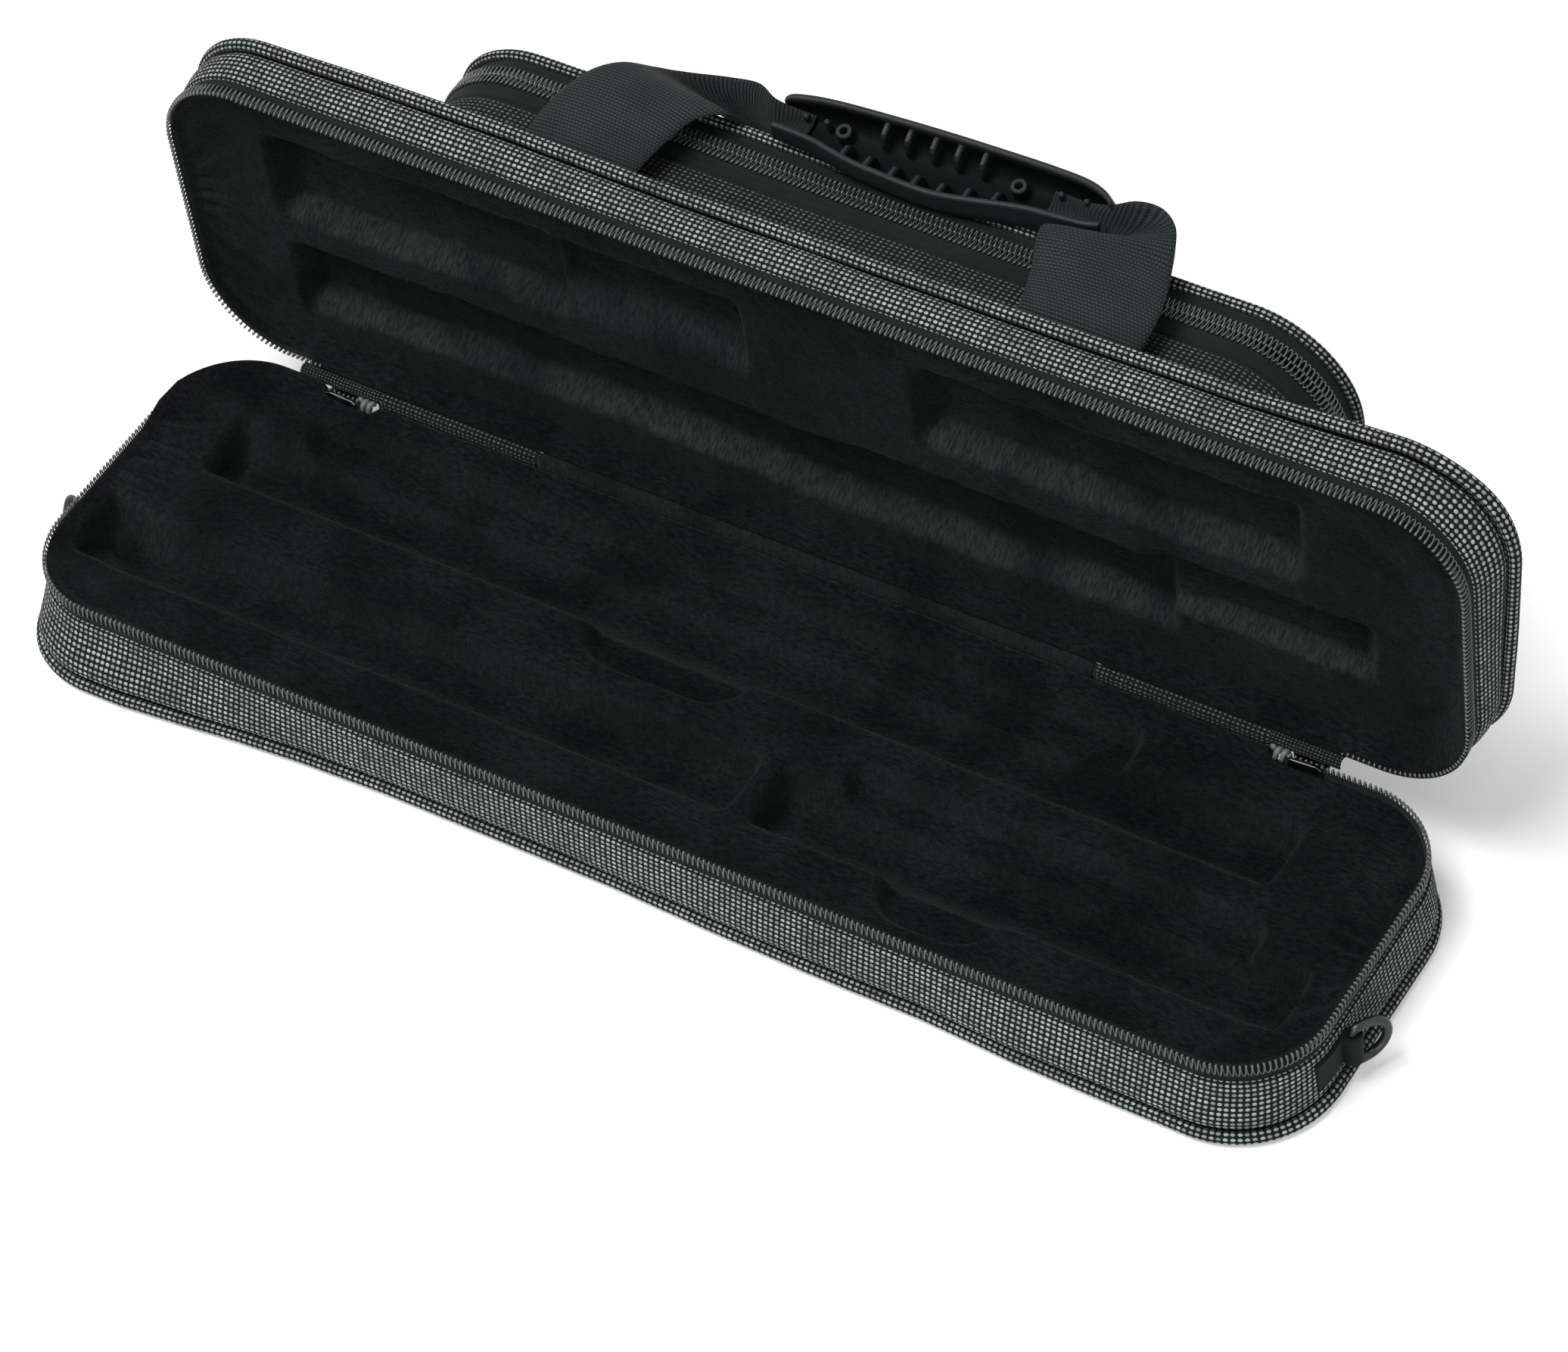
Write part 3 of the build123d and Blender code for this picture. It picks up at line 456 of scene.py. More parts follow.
def dotted_cloth(name, light, dark, share_u=0.33, share_v=0.28):
    """Cloth with rows of pale dashes; its UV counts dashes and share is half a dash's size."""
    net = Net(name, Roughness=0.9, Specular_IOR_Level=0.10, Sheen_Weight=0.03, Sheen_Roughness=0.5)
    u, v = net.uv()
    cu, cv = net.math("FLOOR", u), net.math("FLOOR", v)
    luck = net.cells(net.join(cu, cv))
    luck2 = net.cells(net.join(net.add(cu, 37.5), net.add(cv, 11.5)))
    fu = net.add(net.add(net.math("SUBTRACT", u, cu), -0.5),
                 net.math("MULTIPLY_ADD", luck2, 0.1, -0.05))
    fv = net.add(net.math("SUBTRACT", v, cv), -0.5)
    eu, ev = net.math("DIVIDE", fu, share_u), net.math("DIVIDE", fv, share_v)
    reach = net.math("SQRT", net.add(net.mul(eu, eu), net.mul(ev, ev)))
    dash = net.remap(reach, 1.15, 0.72)
    thread = net.mul(net.wave(u, 4), net.wave(v, 2, 1.57))
    slow = net.remap(net.noise(45, 3), 0.3, 0.7, 0.82, 1.12)
    tone = net.mul(net.mul(dash, net.math("MULTIPLY_ADD", luck, 0.6, 0.5)), slow)
    ground = net.mix(thread, dark, tuple(2.2 * k for k in dark))
    dome = net.mul(dash, net.math("SUBTRACT", 1.25, net.mul(reach, 0.5)))
    fuzz = net.noise(2600, 1)
    height = net.add(net.add(dome, net.mul(thread, 0.35)), net.mul(fuzz, 0.3))
    return net.finish(net.mix(tone, ground, light), height, 0.35, 0.9)


def plush_cloth():
    """Short pile: near black, with a painted highlight, cooler and lighter, on the slopes that catch the
    light. UV y is where that painted highlight goes.
    """
    net = Net("plush_pile", Roughness=1.0, Specular_IOR_Level=0.02, Sheen_Weight=0.07,
              Sheen_Roughness=0.32)
    net.bsdf.inputs["Sheen Tint"].default_value = (0.62, 0.78, 0.72, 1)
    highlight_map = net.uv()[1]
    lay = net.noise(38, 3)
    streak = net.streaks(420, 1300, 1300, 0.65)
    tips = net.streaks(1900, 3200, 3200, 0.7, 2)
    fur = net.streaks(1500, 330, 330, 0.62)
    shade = net.mul(net.remap(streak, 0.3, 0.72, 0.25, 1.0), net.remap(lay, 0.3, 0.72, 0.55, 1.2))
    closed = net.mix(shade, (0.0018, 0.0020, 0.0024), (0.0140, 0.0156, 0.0164))
    # Painted highlight: the lighter, cooler pile colour for the slopes that catch the light.
    highlight_colour = net.mix(net.remap(fur, 0.3, 0.7), (0.0125, 0.0150, 0.0150), (0.0330, 0.0400, 0.0385))
    share = net.mul(net.math("POWER", highlight_map, 1.5), net.remap(lay, 0.25, 0.6, 0.3, 1.0))
    height = net.add(net.add(streak, net.mul(tips, 0.8)), net.mul(fur, 0.8))
    return net.finish(net.mix(share, closed, highlight_colour), height, 0.55, 0.9)


def zip_tape_cloth(name, low, high):
    """Fine herringbone tape with painted shade from low to high, under its coil. UV in millimetres."""
    net = Net(name, Roughness=0.8, Specular_IOR_Level=0.12, Sheen_Weight=0.05, Sheen_Roughness=0.5)
    u, v = net.uv()
    fold = net.math("PINGPONG", v, 1.1)
    twill = net.wave(net.add(u, fold), 1.6)
    rib = net.wave(v, 3.2)
    tone = net.mul(twill, net.math("MULTIPLY_ADD", rib, 0.5, 0.5))
    dust = net.remap(net.noise(160, 3), 0.35, 0.75, 0.7, 1.3)
    # Painted shade: between low and high, under the coil, the tape colour is pulled down nearly to black.
    outside_coil_shade = net.math("MAXIMUM", net.remap(v, low, low - 0.5, 0.12, 1.0),
                    net.remap(v, high, high + 0.5, 0.12, 1.0))
    colour = net.mix(net.mul(tone, dust), (0.0042, 0.0062, 0.0060), (0.0165, 0.0225, 0.0215))
    colour = net.mix(outside_coil_shade, (0.0022, 0.0030, 0.0030), colour)
    return net.finish(colour, net.add(tone, net.mul(net.noise(3000, 1), 0.3)), 0.18, 0.8)


def nylon_wire():
    """Black zip monofilament with a soft gloss."""
    net = Net("nylon_wire", Specular_IOR_Level=0.5, Coat_Weight=0.6, Coat_Roughness=0.08)
    worn = net.noise(700, 3)
    colour = net.mix(worn, (0.034, 0.0410, 0.0400), (0.105, 0.1200, 0.1170))
    return net.finish(colour, net.noise(5000, 2), 0.04, 0.5, net.remap(worn, 0.3, 0.7, 0.16, 0.34))


def webbing_cloth():
    """Webbing with ribs and a thread that crosses them. UV in millimetres."""
    net = Net("ribbed_webbing", Roughness=0.7, Specular_IOR_Level=0.12, Sheen_Weight=0.04,
              Sheen_Roughness=0.4)
    u, v = net.uv()
    row = net.math("FLOOR", net.math("DIVIDE", u, WEB_RIB))
    offset = net.mul(net.math("MODULO", row, 2.0), 0.5)
    rib = net.wave(u, 1 / WEB_RIB, -1.57)
    stitch = net.wave(net.math("MULTIPLY_ADD", v, 1 / WEB_RIB, offset), 1.0)
    tone = net.mul(rib, net.math("MULTIPLY_ADD", stitch, 0.7, 0.3))
    slow = net.remap(net.noise(70, 3), 0.3, 0.7, 0.8, 1.2)
    colour = net.mix(net.mul(tone, slow), (0.0065, 0.0085, 0.0088), (0.050, 0.058, 0.059))
    return net.finish(colour, net.add(tone, net.mul(net.noise(2600, 1), 0.25)), 0.35, 1.0)


def moulded_plastic(name, low, high, rough, grain=900, inside=None):
    """Moulded plastic with fine grain. The colour range inside is painted shade in the grip's channel, UV
    y 32 to 55, where the specular level also drops.
    """
    net = Net(name, Specular_IOR_Level=0.22)
    slow = net.noise(60, 4)
    fine = net.noise(grain, 3)
    colour = net.mix(net.add(net.mul(slow, 0.6), net.mul(fine, 0.4)), low, high)
    if inside:
        # Painted shade: the inner face of the grip's channel gets a darker colour and a weaker specular
        # level.
        across = net.uv()[1]
        channel_shade = net.mul(net.remap(across, 31.0, 33.5), net.remap(across, 56.0, 53.5))
        colour = net.mix(channel_shade, colour, net.mix(slow, *inside))
        net.put(net.bsdf.inputs["Specular IOR Level"], net.remap(channel_shade, 0.0, 1.0, 0.22, 0.03))
    return net.finish(colour, net.add(fine, net.mul(net.noise(grain * 3, 2), 0.4)), 0.08, 0.7,
                      net.remap(slow, 0.3, 0.7, *rough))


def coated_metal(name, low, high, rough, metal=0.9):
    """Metal under a thin dark finish, with scuffs."""
    net = Net(name, Metallic=metal, Specular_IOR_Level=0.5)
    slow = net.noise(140, 4)
    scratch = net.streaks(3000, 300, 300, 0.7)
    colour = net.mix(net.remap(slow, 0.35, 0.7), low, high)
    return net.finish(colour, net.add(net.mul(scratch, 0.5), net.noise(1500, 2)), 0.02, 0.5,
                      net.remap(slow, 0.3, 0.75, *rough))


case_weave = dotted_cloth("dotted_weave", (0.50, 0.530, 0.517), (0.0065, 0.0088, 0.0086),
                          0.375, 0.325)
# Painted shade: a dimmer copy of the dotted cloth, for the cloth in the hinge gap between the shells.
hinge_shade_weave = dotted_cloth("hinge_shade_weave", (0.16, 0.17, 0.168), (0.005, 0.0065, 0.0062), 0.30, 0.24)
shaded_weave = dotted_cloth("shaded_weave", (0.17, 0.18, 0.178), (0.0052, 0.0068, 0.0066))
pile = plush_cloth()
tape = zip_tape_cloth("woven_tape", -0.6, 3.9)
low_tape = zip_tape_cloth("pocket_tape_below", 6.4, 30.0)
high_tape = zip_tape_cloth("pocket_tape_above", -0.6, 1.9)
wire = nylon_wire()
webbing = webbing_cloth()
# The inside colours of grip_plastic are painted shade for the grip's channel.
grip_plastic = moulded_plastic("grip_plastic", (0.0060, 0.0076, 0.0082), (0.016, 0.0185, 0.0195),
                               (0.34, 0.5), inside=((0.0022, 0.0028, 0.0031), (0.0055, 0.0066, 0.0070)))
stop_plastic = moulded_plastic("stop_plastic", (0.045, 0.052, 0.052), (0.26, 0.29, 0.285),
                               (0.3, 0.5), 2500)
black_metal = coated_metal("blackened_metal", (0.035, 0.037, 0.038), (0.075, 0.078, 0.08),
                           (0.28, 0.5))
bright_metal = coated_metal("slider_metal_finish", (0.035, 0.038, 0.04), (0.12, 0.126, 0.13),
                            (0.25, 0.45), 1.0)


# ======== walls, piping, panels
total = around(CASE)


def wall_profile(section, pull_up, reach=0.0):
    """Wall section that rises to the hinge line between the stops, widened by reach.

    pull_up is how much the ring tab draws the cloth in."""
    low = np.array(section)

    def profile(s, x, v):
        g = smooth(STOP_X + reach + 1.5, STOP_X + reach - 1.5, abs(x))[:, None] * (v > 0)[:, None]
        o = np.repeat(low[None, :, 0], len(s), 0)
        w = np.repeat(low[None, :, 1], len(s), 0)
        rise = (w.min() - (1.3 if reach else 2.0)) * np.clip((12.5 - w) / 5.4, 0, 1)
        w = w - g * rise
        near_tab = smooth(22, 12, abs(v - RING_TAB_V))[:, None] * (abs(x) > 200)[:, None] * pull_up
        side = (smooth(8, 40, abs(abs(x) - CASE[0])) * 0.35 + 0.65)[:, None]
        out = np.clip(o, 0, None) * side * (1 - 0.9 * g) * (1 - near_tab)
        o = np.where(o > 0, out, o)
        wave = 0.35 * lattice(3, s / 23.0, 2.5)[:, None] * smooth(8, 14, w) * (1 - g)
        return o + wave * (low[None, :, 0] > -1.2) * (1 - near_tab), w

    return profile


BASE_WALL = [
    (-1.5, 7.7), (-1.1, 7.15), (-0.45, 7.2), (0.0, 8.0), (0.35, 10.0), (0.8, 12.6), (1.3, 15.6),
    (1.7, 18.4), (1.7, 20.4), (1.2, 22.0), (0.1, 23.2), (-1.0, 23.8), (-1.85, 23.2), (-1.9, 20.0),
    (-1.9, 13.0), (-1.9, 9.0)]
LID_WALL = [
    (-1.5, 7.7), (-1.1, 7.15), (-0.45, 7.2), (0.05, 8.0), (0.6, 9.6), (1.05, 11.6), (1.2, 13.4),
    (1.0, 15.2), (0.5, 16.7), (-0.4, 17.8), (-1.3, 18.3), (-1.95, 17.6), (-2.0, 14.0), (-1.9, 9.0)]
for word, place, profile in (("base", base_shell, wall_profile(BASE_WALL, 1.0)),
                             ("lid", lid_shell, wall_profile(LID_WALL, 0.0, 22.0))):
    wall = sweep(f"{word}_wall", CASE, place, profile, case_weave, unit=DASH)
    dress(wall, word, "case_cloth", f"{word}_wall_cloth", f"{word}_wall_board")


def piping(name, shape, place, radius, depth, seed, dash):
    """Cloth-covered cord."""
    angle = np.arange(16) * 2 * math.pi / 16

    def profile(s, x, v):
        swell = radius * (1.03 + 0.03 * lattice(seed, s / 9.0, 0.5))[:, None]
        drift = 0.25 * lattice(seed + 1, s / 31.0, 0.5)[:, None]
        return drift + swell * np.sin(angle), depth - swell * np.cos(angle)

    return sweep(name, shape, place, profile, case_weave, step=1.8, unit=dash)


def panel(name, place, face, drop):
    """Flat side of the case, which falls away by drop at its rim."""
    x, v = field(CASE, 1.0, 150, 54)
    d = edge_distance(CASE, 1.0, x, v)
    w = face - drop * (1 - smooth(0, 6, d)) - 0.12 * lattice(9, x / 17, v / 17) * smooth(3, 12, d)
    return slab(name, x, v, np.minimum(w, face), PANEL_THICK, place, case_weave, DASH)


for word, place, face, seed in (("base", base_shell, BASE_HEIGHT, 5), ("lid", lid_shell, LID_DEPTH, 7)):
    cord = piping(f"{word}_piping_cloth", CASE, place, PIPING_RADIUS, face - PIPING_SEAT, seed,
                  PIPING_DASH)
    dress(cord, word, "piping", f"{word}_piping")
for name, word, place, face, drop in (("base_underside", "base", base_shell, BASE_HEIGHT, 2.2),
                                      ("lid_back_panel", "lid", lid_shell, LID_DEPTH, 1.6)):
    dress(panel(name, place, face, drop), word, "panel_cloth", f"{word}_outer_panel")

# ======== main zip
TAPE_PROFILE = [
    (-1.62, 1.05), (-1.4, 1.3), (-1.25, 2.6), (-1.25, 4.6), (-1.15, 6.2), (-1.0, 7.6), (-1.15, 8.6),
    (-1.75, 8.6), (-1.85, 7.0), (-1.95, 4.6), (-1.9, 2.4), (-1.8, 1.15)]
for word, place in (("base", on_base), ("lid", on_lid)):
    cloth = sweep(f"{word}_tape", CASE, place, TAPE_PROFILE, tape, span=(COIL_X, total - COIL_X))
    dress(cloth, word, "zip_tape", f"{word}_zip_tape")
for word, place, start in (("base", on_base, COIL_X), ("lid", on_lid, LID_COIL_X)):
    teeth = coil(f"{word}_coil", CASE, place, wire, (start, total - start), (-0.82, 2.42), (0.60, 2.0))
    dress(teeth, word, "zip_coil", f"{word}_zip_coil")


# ======== plush linings
def hollow(distance, depth):
    """Depth of a moulded hollow: full inside, soft over its lip."""
    return depth * smooth(HOLLOW_LIP, -HOLLOW_LIP, distance)


def wrinkles(x, v, seed, reach_x):
    """Folds where the cloth was pulled in at the ends."""
    angle = np.arctan2(v, (CASE[0] - abs(x)) * 0.8 + 14)
    fan = np.sin(angle * 23 + 2.2 * lattice(seed, x / 14, v / 14))
    near_end = smooth(CASE[0] - reach_x, CASE[0] - 6, abs(x))
    return fan * near_end * (0.5 + 0.5 * lattice(seed + 1, x / 9, v / 9))


def channel(x, v, x0, x1, top, low, soft_low, depth, end=CHANNEL_LIP):
    """Moulded channel along x; its low wall is the broad one that catches the light."""
    return (depth * smooth(-CHANNEL_LIP, CHANNEL_LIP, x - x0) * smooth(end, -end, x - x1)
            * smooth(-CHANNEL_LIP, CHANNEL_LIP, v - top) * smooth(soft_low, -soft_low, v - low))


def lid_lining_depth(x, v):
    d = edge_distance(CASE, PLUSH_INSET, x, v)
    sway = 1.3 * lattice(25, x / 24, v / 18)
    rough = 0.5 * lattice(26, x / 6, v / 9)
    swayed = v + sway + rough
    head = channel(x, swayed, -177, -80, -35, -6.0, 3.6, 8.5)
    lip = channel(x, v + 0.5 * sway, -82, -18, -35, -12.0, 7.5, 9.0, end=2.0)
    foot = channel(x, swayed, 41, 158, -34, -8.2, 4.2, 8.5)
    body = channel(x, swayed, -176, 117, 8, 31.0, 4.4, 8.5)
    tail = channel(x, v + rough, 112, 179, 4, 22.6, 2.8, 6.5)
    deep = np.maximum.reduce([body, tail, head, lip, foot])
    bump = 2.0 * bell((x - 122) / 4.5) * bell((v - 21) / 4)
    level = 5.0 - 1.7 * (1 - smooth(0, 3.4, d)) + 0.5 * smooth(0, 12, d)
    ridge = 0.7 * bell((v + 29.8) / 1.6) * smooth(20, 8, abs(x + 108))
    ridge += 0.6 * bell((v + 38) / 2) * smooth(68, 55, abs(x - 90))
    arc = np.hypot(x - 160, v - 2)
    arc_fold = bell((arc - 40) / 4.0) * smooth(-4, -18, v) * (x > 150)
    pile_noise = 0.28 * lattice(21, x / 7, v / 7) + 0.14 * lattice(22, x / 2.6, v / 2.6)
    folds = ridge + arc_fold + wrinkles(x, v, 24, 30)
    return level + (deep - bump) * smooth(0, 5, d) + (folds + pile_noise) * smooth(1, 7, d)


def trough(x, y, cx, cy, half):
    """Round trough along x, half its length to each side of its middle."""
    across = abs(y - cy)
    round_depth = TROUGH_DROP + np.sqrt(np.clip(TROUGH_RADIUS**2 - across**2, 0, None))
    wall = smooth(TROUGH_RADIUS + np.where(y > cy, 4.2, 2.4), TROUGH_RADIUS - 1.8, across)
    ends = smooth(half + 2.0, half - 2.4, abs(x - cx))
    return round_depth * wall * ends


def tray_lining_depth(x, y):
    d = edge_distance(CASE, PLUSH_INSET, x, y)
    body = trough(x, y, -8, 24, 179)
    head = trough(x, y, -91, -20, 113)
    foot = trough(x, y, 114, -20, 83)
    body_keys = hollow(rrect(x, y, -25, 33, 140, 13, 5), 7.0)
    foot_keys = hollow(rrect(x, y, 114, -12, 65, 12, 5), 7.0)
    notch = hollow(np.hypot(np.maximum(abs(x + 22) - 14, 0), y - 14) - 12.5, 9.0)
    notch2 = hollow(np.hypot(np.maximum(abs(x - 94) - 6, 0), y + 31) - 12.0, 9.0)
    deep = np.maximum.reduce([body, head, foot, body_keys, foot_keys, notch, notch2])
    level = 5.0 - 1.7 * (1 - smooth(0, 3.4, d)) + 0.35 * smooth(0, 10, d)
    pile_noise = 0.26 * lattice(31, x / 8, y / 8) + 0.13 * lattice(32, x / 2.6, y / 2.6)
    fold = (1.0 + 0.9 * smooth(-150, -190, x)) * wrinkles(x, y, 34, 34)
    return level + deep * smooth(0, 4, d) + (pile_noise + fold) * smooth(1, 7, d)


def lining(name, place, depth_at, tuck, rim, highlight_strength):
    """Padded plush; it is drawn over the rim where tuck says so, and lifted at the rim by rim."""
    x, v = field(CASE, PLUSH_INSET, 320, 104)
    w = np.clip(depth_at(x, v), 3.3, PLUSH_DEEPEST)
    d = edge_distance(CASE, PLUSH_INSET, x, v)
    w = w - rim(x, v) * smooth(22.0, 2.0, d)
    qx = np.maximum(abs(x) - (CASE[0] - CASE[2]), 0) * np.sign(x)
    qv = np.maximum(v - (CASE[1] - CASE[2]), 0)
    reach = np.hypot(qx, qv) + 1e-6
    share, target = tuck(x, v)
    share = share * smooth(7.0, 0.0, d)
    # Painted highlight: the slopes that fall one way, the walls that catch the light, are marked for the
    # lighter pile colour; in the tray the left end is marked as well, with noise.
    steep = -np.gradient(w, axis=1) / np.maximum(np.gradient(v, axis=1), 0.2) / 1.1
    highlight_map = np.clip(steep, 0, 1) * smooth(2, 8, d) * highlight_strength
    if place is on_base:
        highlight_map = highlight_map + 0.30 * smooth(-150, -200, x) * (0.5 + lattice(83, x / 9, v / 7))
    out = 1.8 * share / reach
    return slab(name, x + out * qx, v + out * qv, w - (w - target) * share, -1.0, place, pile,
                (10.0, 1.0), np.clip(highlight_map, 0, 1))


def tray_tuck(x, v):
    far_left = smooth(-165, -171, x) * smooth(12, 34, v)
    return np.maximum(smooth(153, 149, abs(x)) * 0.8 * (v > 30), far_left), 0.45 - 1.5 * (x < -160)


def lid_tuck(x, v):
    return np.where(x > 0, smooth(2, 30, v), smooth(-180, -175, x) * (v > 30)), 0.5


def tray_rim(x, v):
    left = smooth(-150, -205, x)
    back, front = smooth(10, 45, v), smooth(0, -40, v)
    return 2.2 * left + 2.0 * smooth(-150, -178, x) * back + 0.9 * smooth(160, 200, x) * front


def lid_rim(x, v):
    return 1.4 * smooth(-150, -205, x) + 0.8 * smooth(170, 205, x)


# The last argument scales the painted highlight on each lining.
tray_plush = lining("tray_plush", on_base, tray_lining_depth, tray_tuck, tray_rim, 0.45)
lid_plush = lining("lid_plush", on_lid, lid_lining_depth, lid_tuck, lid_rim, 1.0)
for piece, body, fill in ((tray_plush, "base", 0.7), (lid_plush, "lid", 0.6)):
    dress(piece, body, "plush", f"{body}_core", f"{body}_lining")
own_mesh(tray_plush)


# ======== hinge side
def hinge_arc(radius, first, last):
    """Points round the hinge line between two angles in degrees."""
    return [(HINGE_Y + radius * math.cos(a), BASE_HEIGHT + radius * math.sin(a))
            for a in np.radians(np.linspace(first, last, 13))]


def roll(name, x0, x1, material, seed, dots=True):
    """Cloth roll on the hinge line with its flap down the back wall."""
    x = np.linspace(x0, x1, int((x1 - x0) / 1.5) + 1)
    shape = np.array([(54.9, 20.2), (55.0, 23.5), (55.3, 26.0), *hinge_arc(ROLL_RADIUS, -100, 190),
                      (53.75, 26.5), (53.7, 23.5), (53.7, 20.1)])
    swell = 1 + 0.05 * lattice(seed, x / 6, 0) + 0.03 * lattice(seed + 1, x / 2.2, 0)
    ends = 1 - 0.25 * np.exp(-((x - x0) / 1.5) ** 2) - 0.25 * np.exp(-((x1 - x) / 1.5) ** 2)
    scale = np.where(shape[None, :, 1] > 26.2, (swell * ends)[:, None], 1)
    y = HINGE_Y + (shape[None, :, 0] - HINGE_Y) * scale
    z = BASE_HEIGHT + (shape[None, :, 1] - BASE_HEIGHT) * scale
    points = np.stack(spread(x[:, None], y, z), -1)
    # Without dots the roll is plush, marked for the painted highlight at part strength.
    v = seam_lengths(shape) / ROLL_DASH[1] if dots else np.full(len(shape) + 1, RIDGE_HIGHLIGHT)
    return grid(name, points, material, x / ROLL_DASH[0], v, loop_v=True)


for word, x0, x1, seed in (("left", -STOP_X, -STRIP_X, 41), ("right", STRIP_X, STOP_X, 44)):
    strip = roll(f"hinge_strip_{word}", x0, x1, hinge_shade_weave, seed)
    dress(strip, "base", "hinge_cloth", f"hinge_cloth_{word}")
ridge = roll("hinge_plush_ridge", -STRIP_X, STRIP_X, pile, 47, dots=False)
dress(ridge, "base", "plush", "hinge_plush_cover")


def bridge(name, x0, x1):
    """Cloth arched over the zip end between the two shells."""
    x = np.linspace(x0, x1, 24)
    arc = np.array(hinge_arc(BRIDGE_OUTER, 198, 38) + hinge_arc(BRIDGE_INNER, 38, 198))
    z = arc[None, :, 1] + 0.12 * lattice(55, x / 4, 0)[:, None]
    points = np.stack(spread(x[:, None], arc[None, :, 0], z), -1)
    return grid(name, points, hinge_shade_weave, x / 1.1, seam_lengths(arc) / 0.95, loop_v=True)


for word, x0, x1 in (("left", -179, -150.2), ("right", 150.2, 172.5)):
    dress(bridge(f"zip_end_bridge_{word}", x0, x1), "base", "hinge_cloth")

TIES = (STOP_X + 1.0, COIL_X + 0.6)
for word, span, nodes in (("right", TIES, ["zip_end_stops"]),
                          ("left", (total - TIES[1], total - TIES[0]), [])):
    ties = coil(f"end_ties_{word}", CASE, on_base, stop_plastic, span, (-0.9, 1.9), (1.25, 1.7),
                pitch=2.1, radius=0.75, head=0.25, loops=0.0)
    dress(ties, "base", "end_stop", *nodes)

flap_x = np.linspace(-STOP_X, STOP_X, 160)
flap_shape = np.array([(58.3, 31.2), (58.4, 30.75), (61, 30.25), (63.5, 30.35), (65.2, 30.9),
                       (65.6, 31.6), (64, 31.7), (61, 31.6)])
flap_y = flap_shape[None, :, 0] + 0.25 * lattice(51, flap_x / 11, 0)[:, None]
flap_points = np.stack(spread(flap_x[:, None], flap_y, flap_shape[None, :, 1]), -1)
flap = grid("lid_hinge_strip", flap_points, hinge_shade_weave, flap_x / ROLL_DASH[0],
            np.array([0, 0.9, 2.3, 4.8, 6.6, 7.4, 9, 12, 13.6]) / ROLL_DASH[1], loop_v=True)
dress(flap, "lid", "hinge_cloth", "lid_hinge_flap")

# ======== pocket
pocket_zip = (POCKET_COIL_X, around(POCKET) - POCKET_COIL_X)


def round_pocket(name, node, slot, material, profile, **how):
    """Cloth carried round the pocket."""
    dress(sweep(name, POCKET, on_pocket, profile, material, **how), "lid", slot, node)


round_pocket("pocket_gusset_cloth", "pocket_gusset", "pocket_cloth", shaded_weave, [
    (0.9, 0.1), (0.35, 0.9), (0.05, 2.5), (0.15, 6.0), (0.35, 10.0), (0.2, 14.0), (-0.2, 17.0),
    (-0.7, 18.8), (-1.4, 19.0), (-1.6, 17.0), (-1.6, 10.0), (-1.6, 2.0), (-1.5, 0.1)],
    unit=DASH)
round_pocket("pocket_hinge_band", "pocket_hinge_cloth", "pocket_cloth", case_weave, [
    (-0.3, 18.3), (0.1, 22.0), (0.25, 27.0), (0.1, 32.0), (-0.3, 35.8), (-1.3, 35.8), (-1.4, 30.0),
    (-1.4, 22.0), (-1.4, 18.3)],
    span=(-POCKET_COIL_X, POCKET_COIL_X), step=2.5, unit=DASH)
round_pocket("pocket_tape_low", "pocket_tape_inner", "pocket_tape", low_tape, [
    (-0.75, 18.3), (-0.45, 20.0), (-0.3, 23.0), (-0.35, 26.6), (-1.1, 26.6), (-1.15, 22.0),
    (-1.3, 18.3)], span=pocket_zip)
round_pocket("pocket_tape_high", "pocket_tape_outer", "pocket_tape", high_tape, [
    (-0.35, 29.4), (-0.3, 32.0), (-0.45, 34.0), (-0.7, 36.2), (-1.5, 36.2), (-1.2, 33.0),
    (-1.1, 29.4)], span=pocket_zip)
for word, node, depth, side, phase in (("low", "pocket_coil_inner", 26.35, -1, 0.0),
                                       ("high", "pocket_coil_outer", 29.65, 1, math.pi)):
    teeth = coil(f"pocket_coil_{word}", POCKET, on_pocket, wire, pocket_zip, (0.1, depth), (0.5, 1.8),
                 pitch=POCKET_COIL_PITCH, phase=phase, side=side)
    dress(teeth, "lid", "pocket_coil", node)
pocket_cord = piping("pocket_piping_cloth", POCKET, on_pocket, radius=1.65, depth=37.1, seed=61,
                     dash=POCKET_PIPING_DASH)
dress(pocket_cord, "lid", "piping", "pocket_piping")

x, v = field(POCKET, 1.1, 130, 60)
inwards = edge_distance(POCKET, 1.1, x, v)
w = 38.0 - 1.2 * (1 - smooth(0, 5, inwards)) + 0.9 * smooth(2, 26, inwards)
w = w + 0.35 * lattice(71, x / 24, v / 20) * smooth(2, 12, inwards)
pocket_front = slab("pocket_front_panel", x, v, w, 1.8, on_pocket, case_weave, DASH)
dress(pocket_front, "lid", "pocket_front", "pocket_panel")


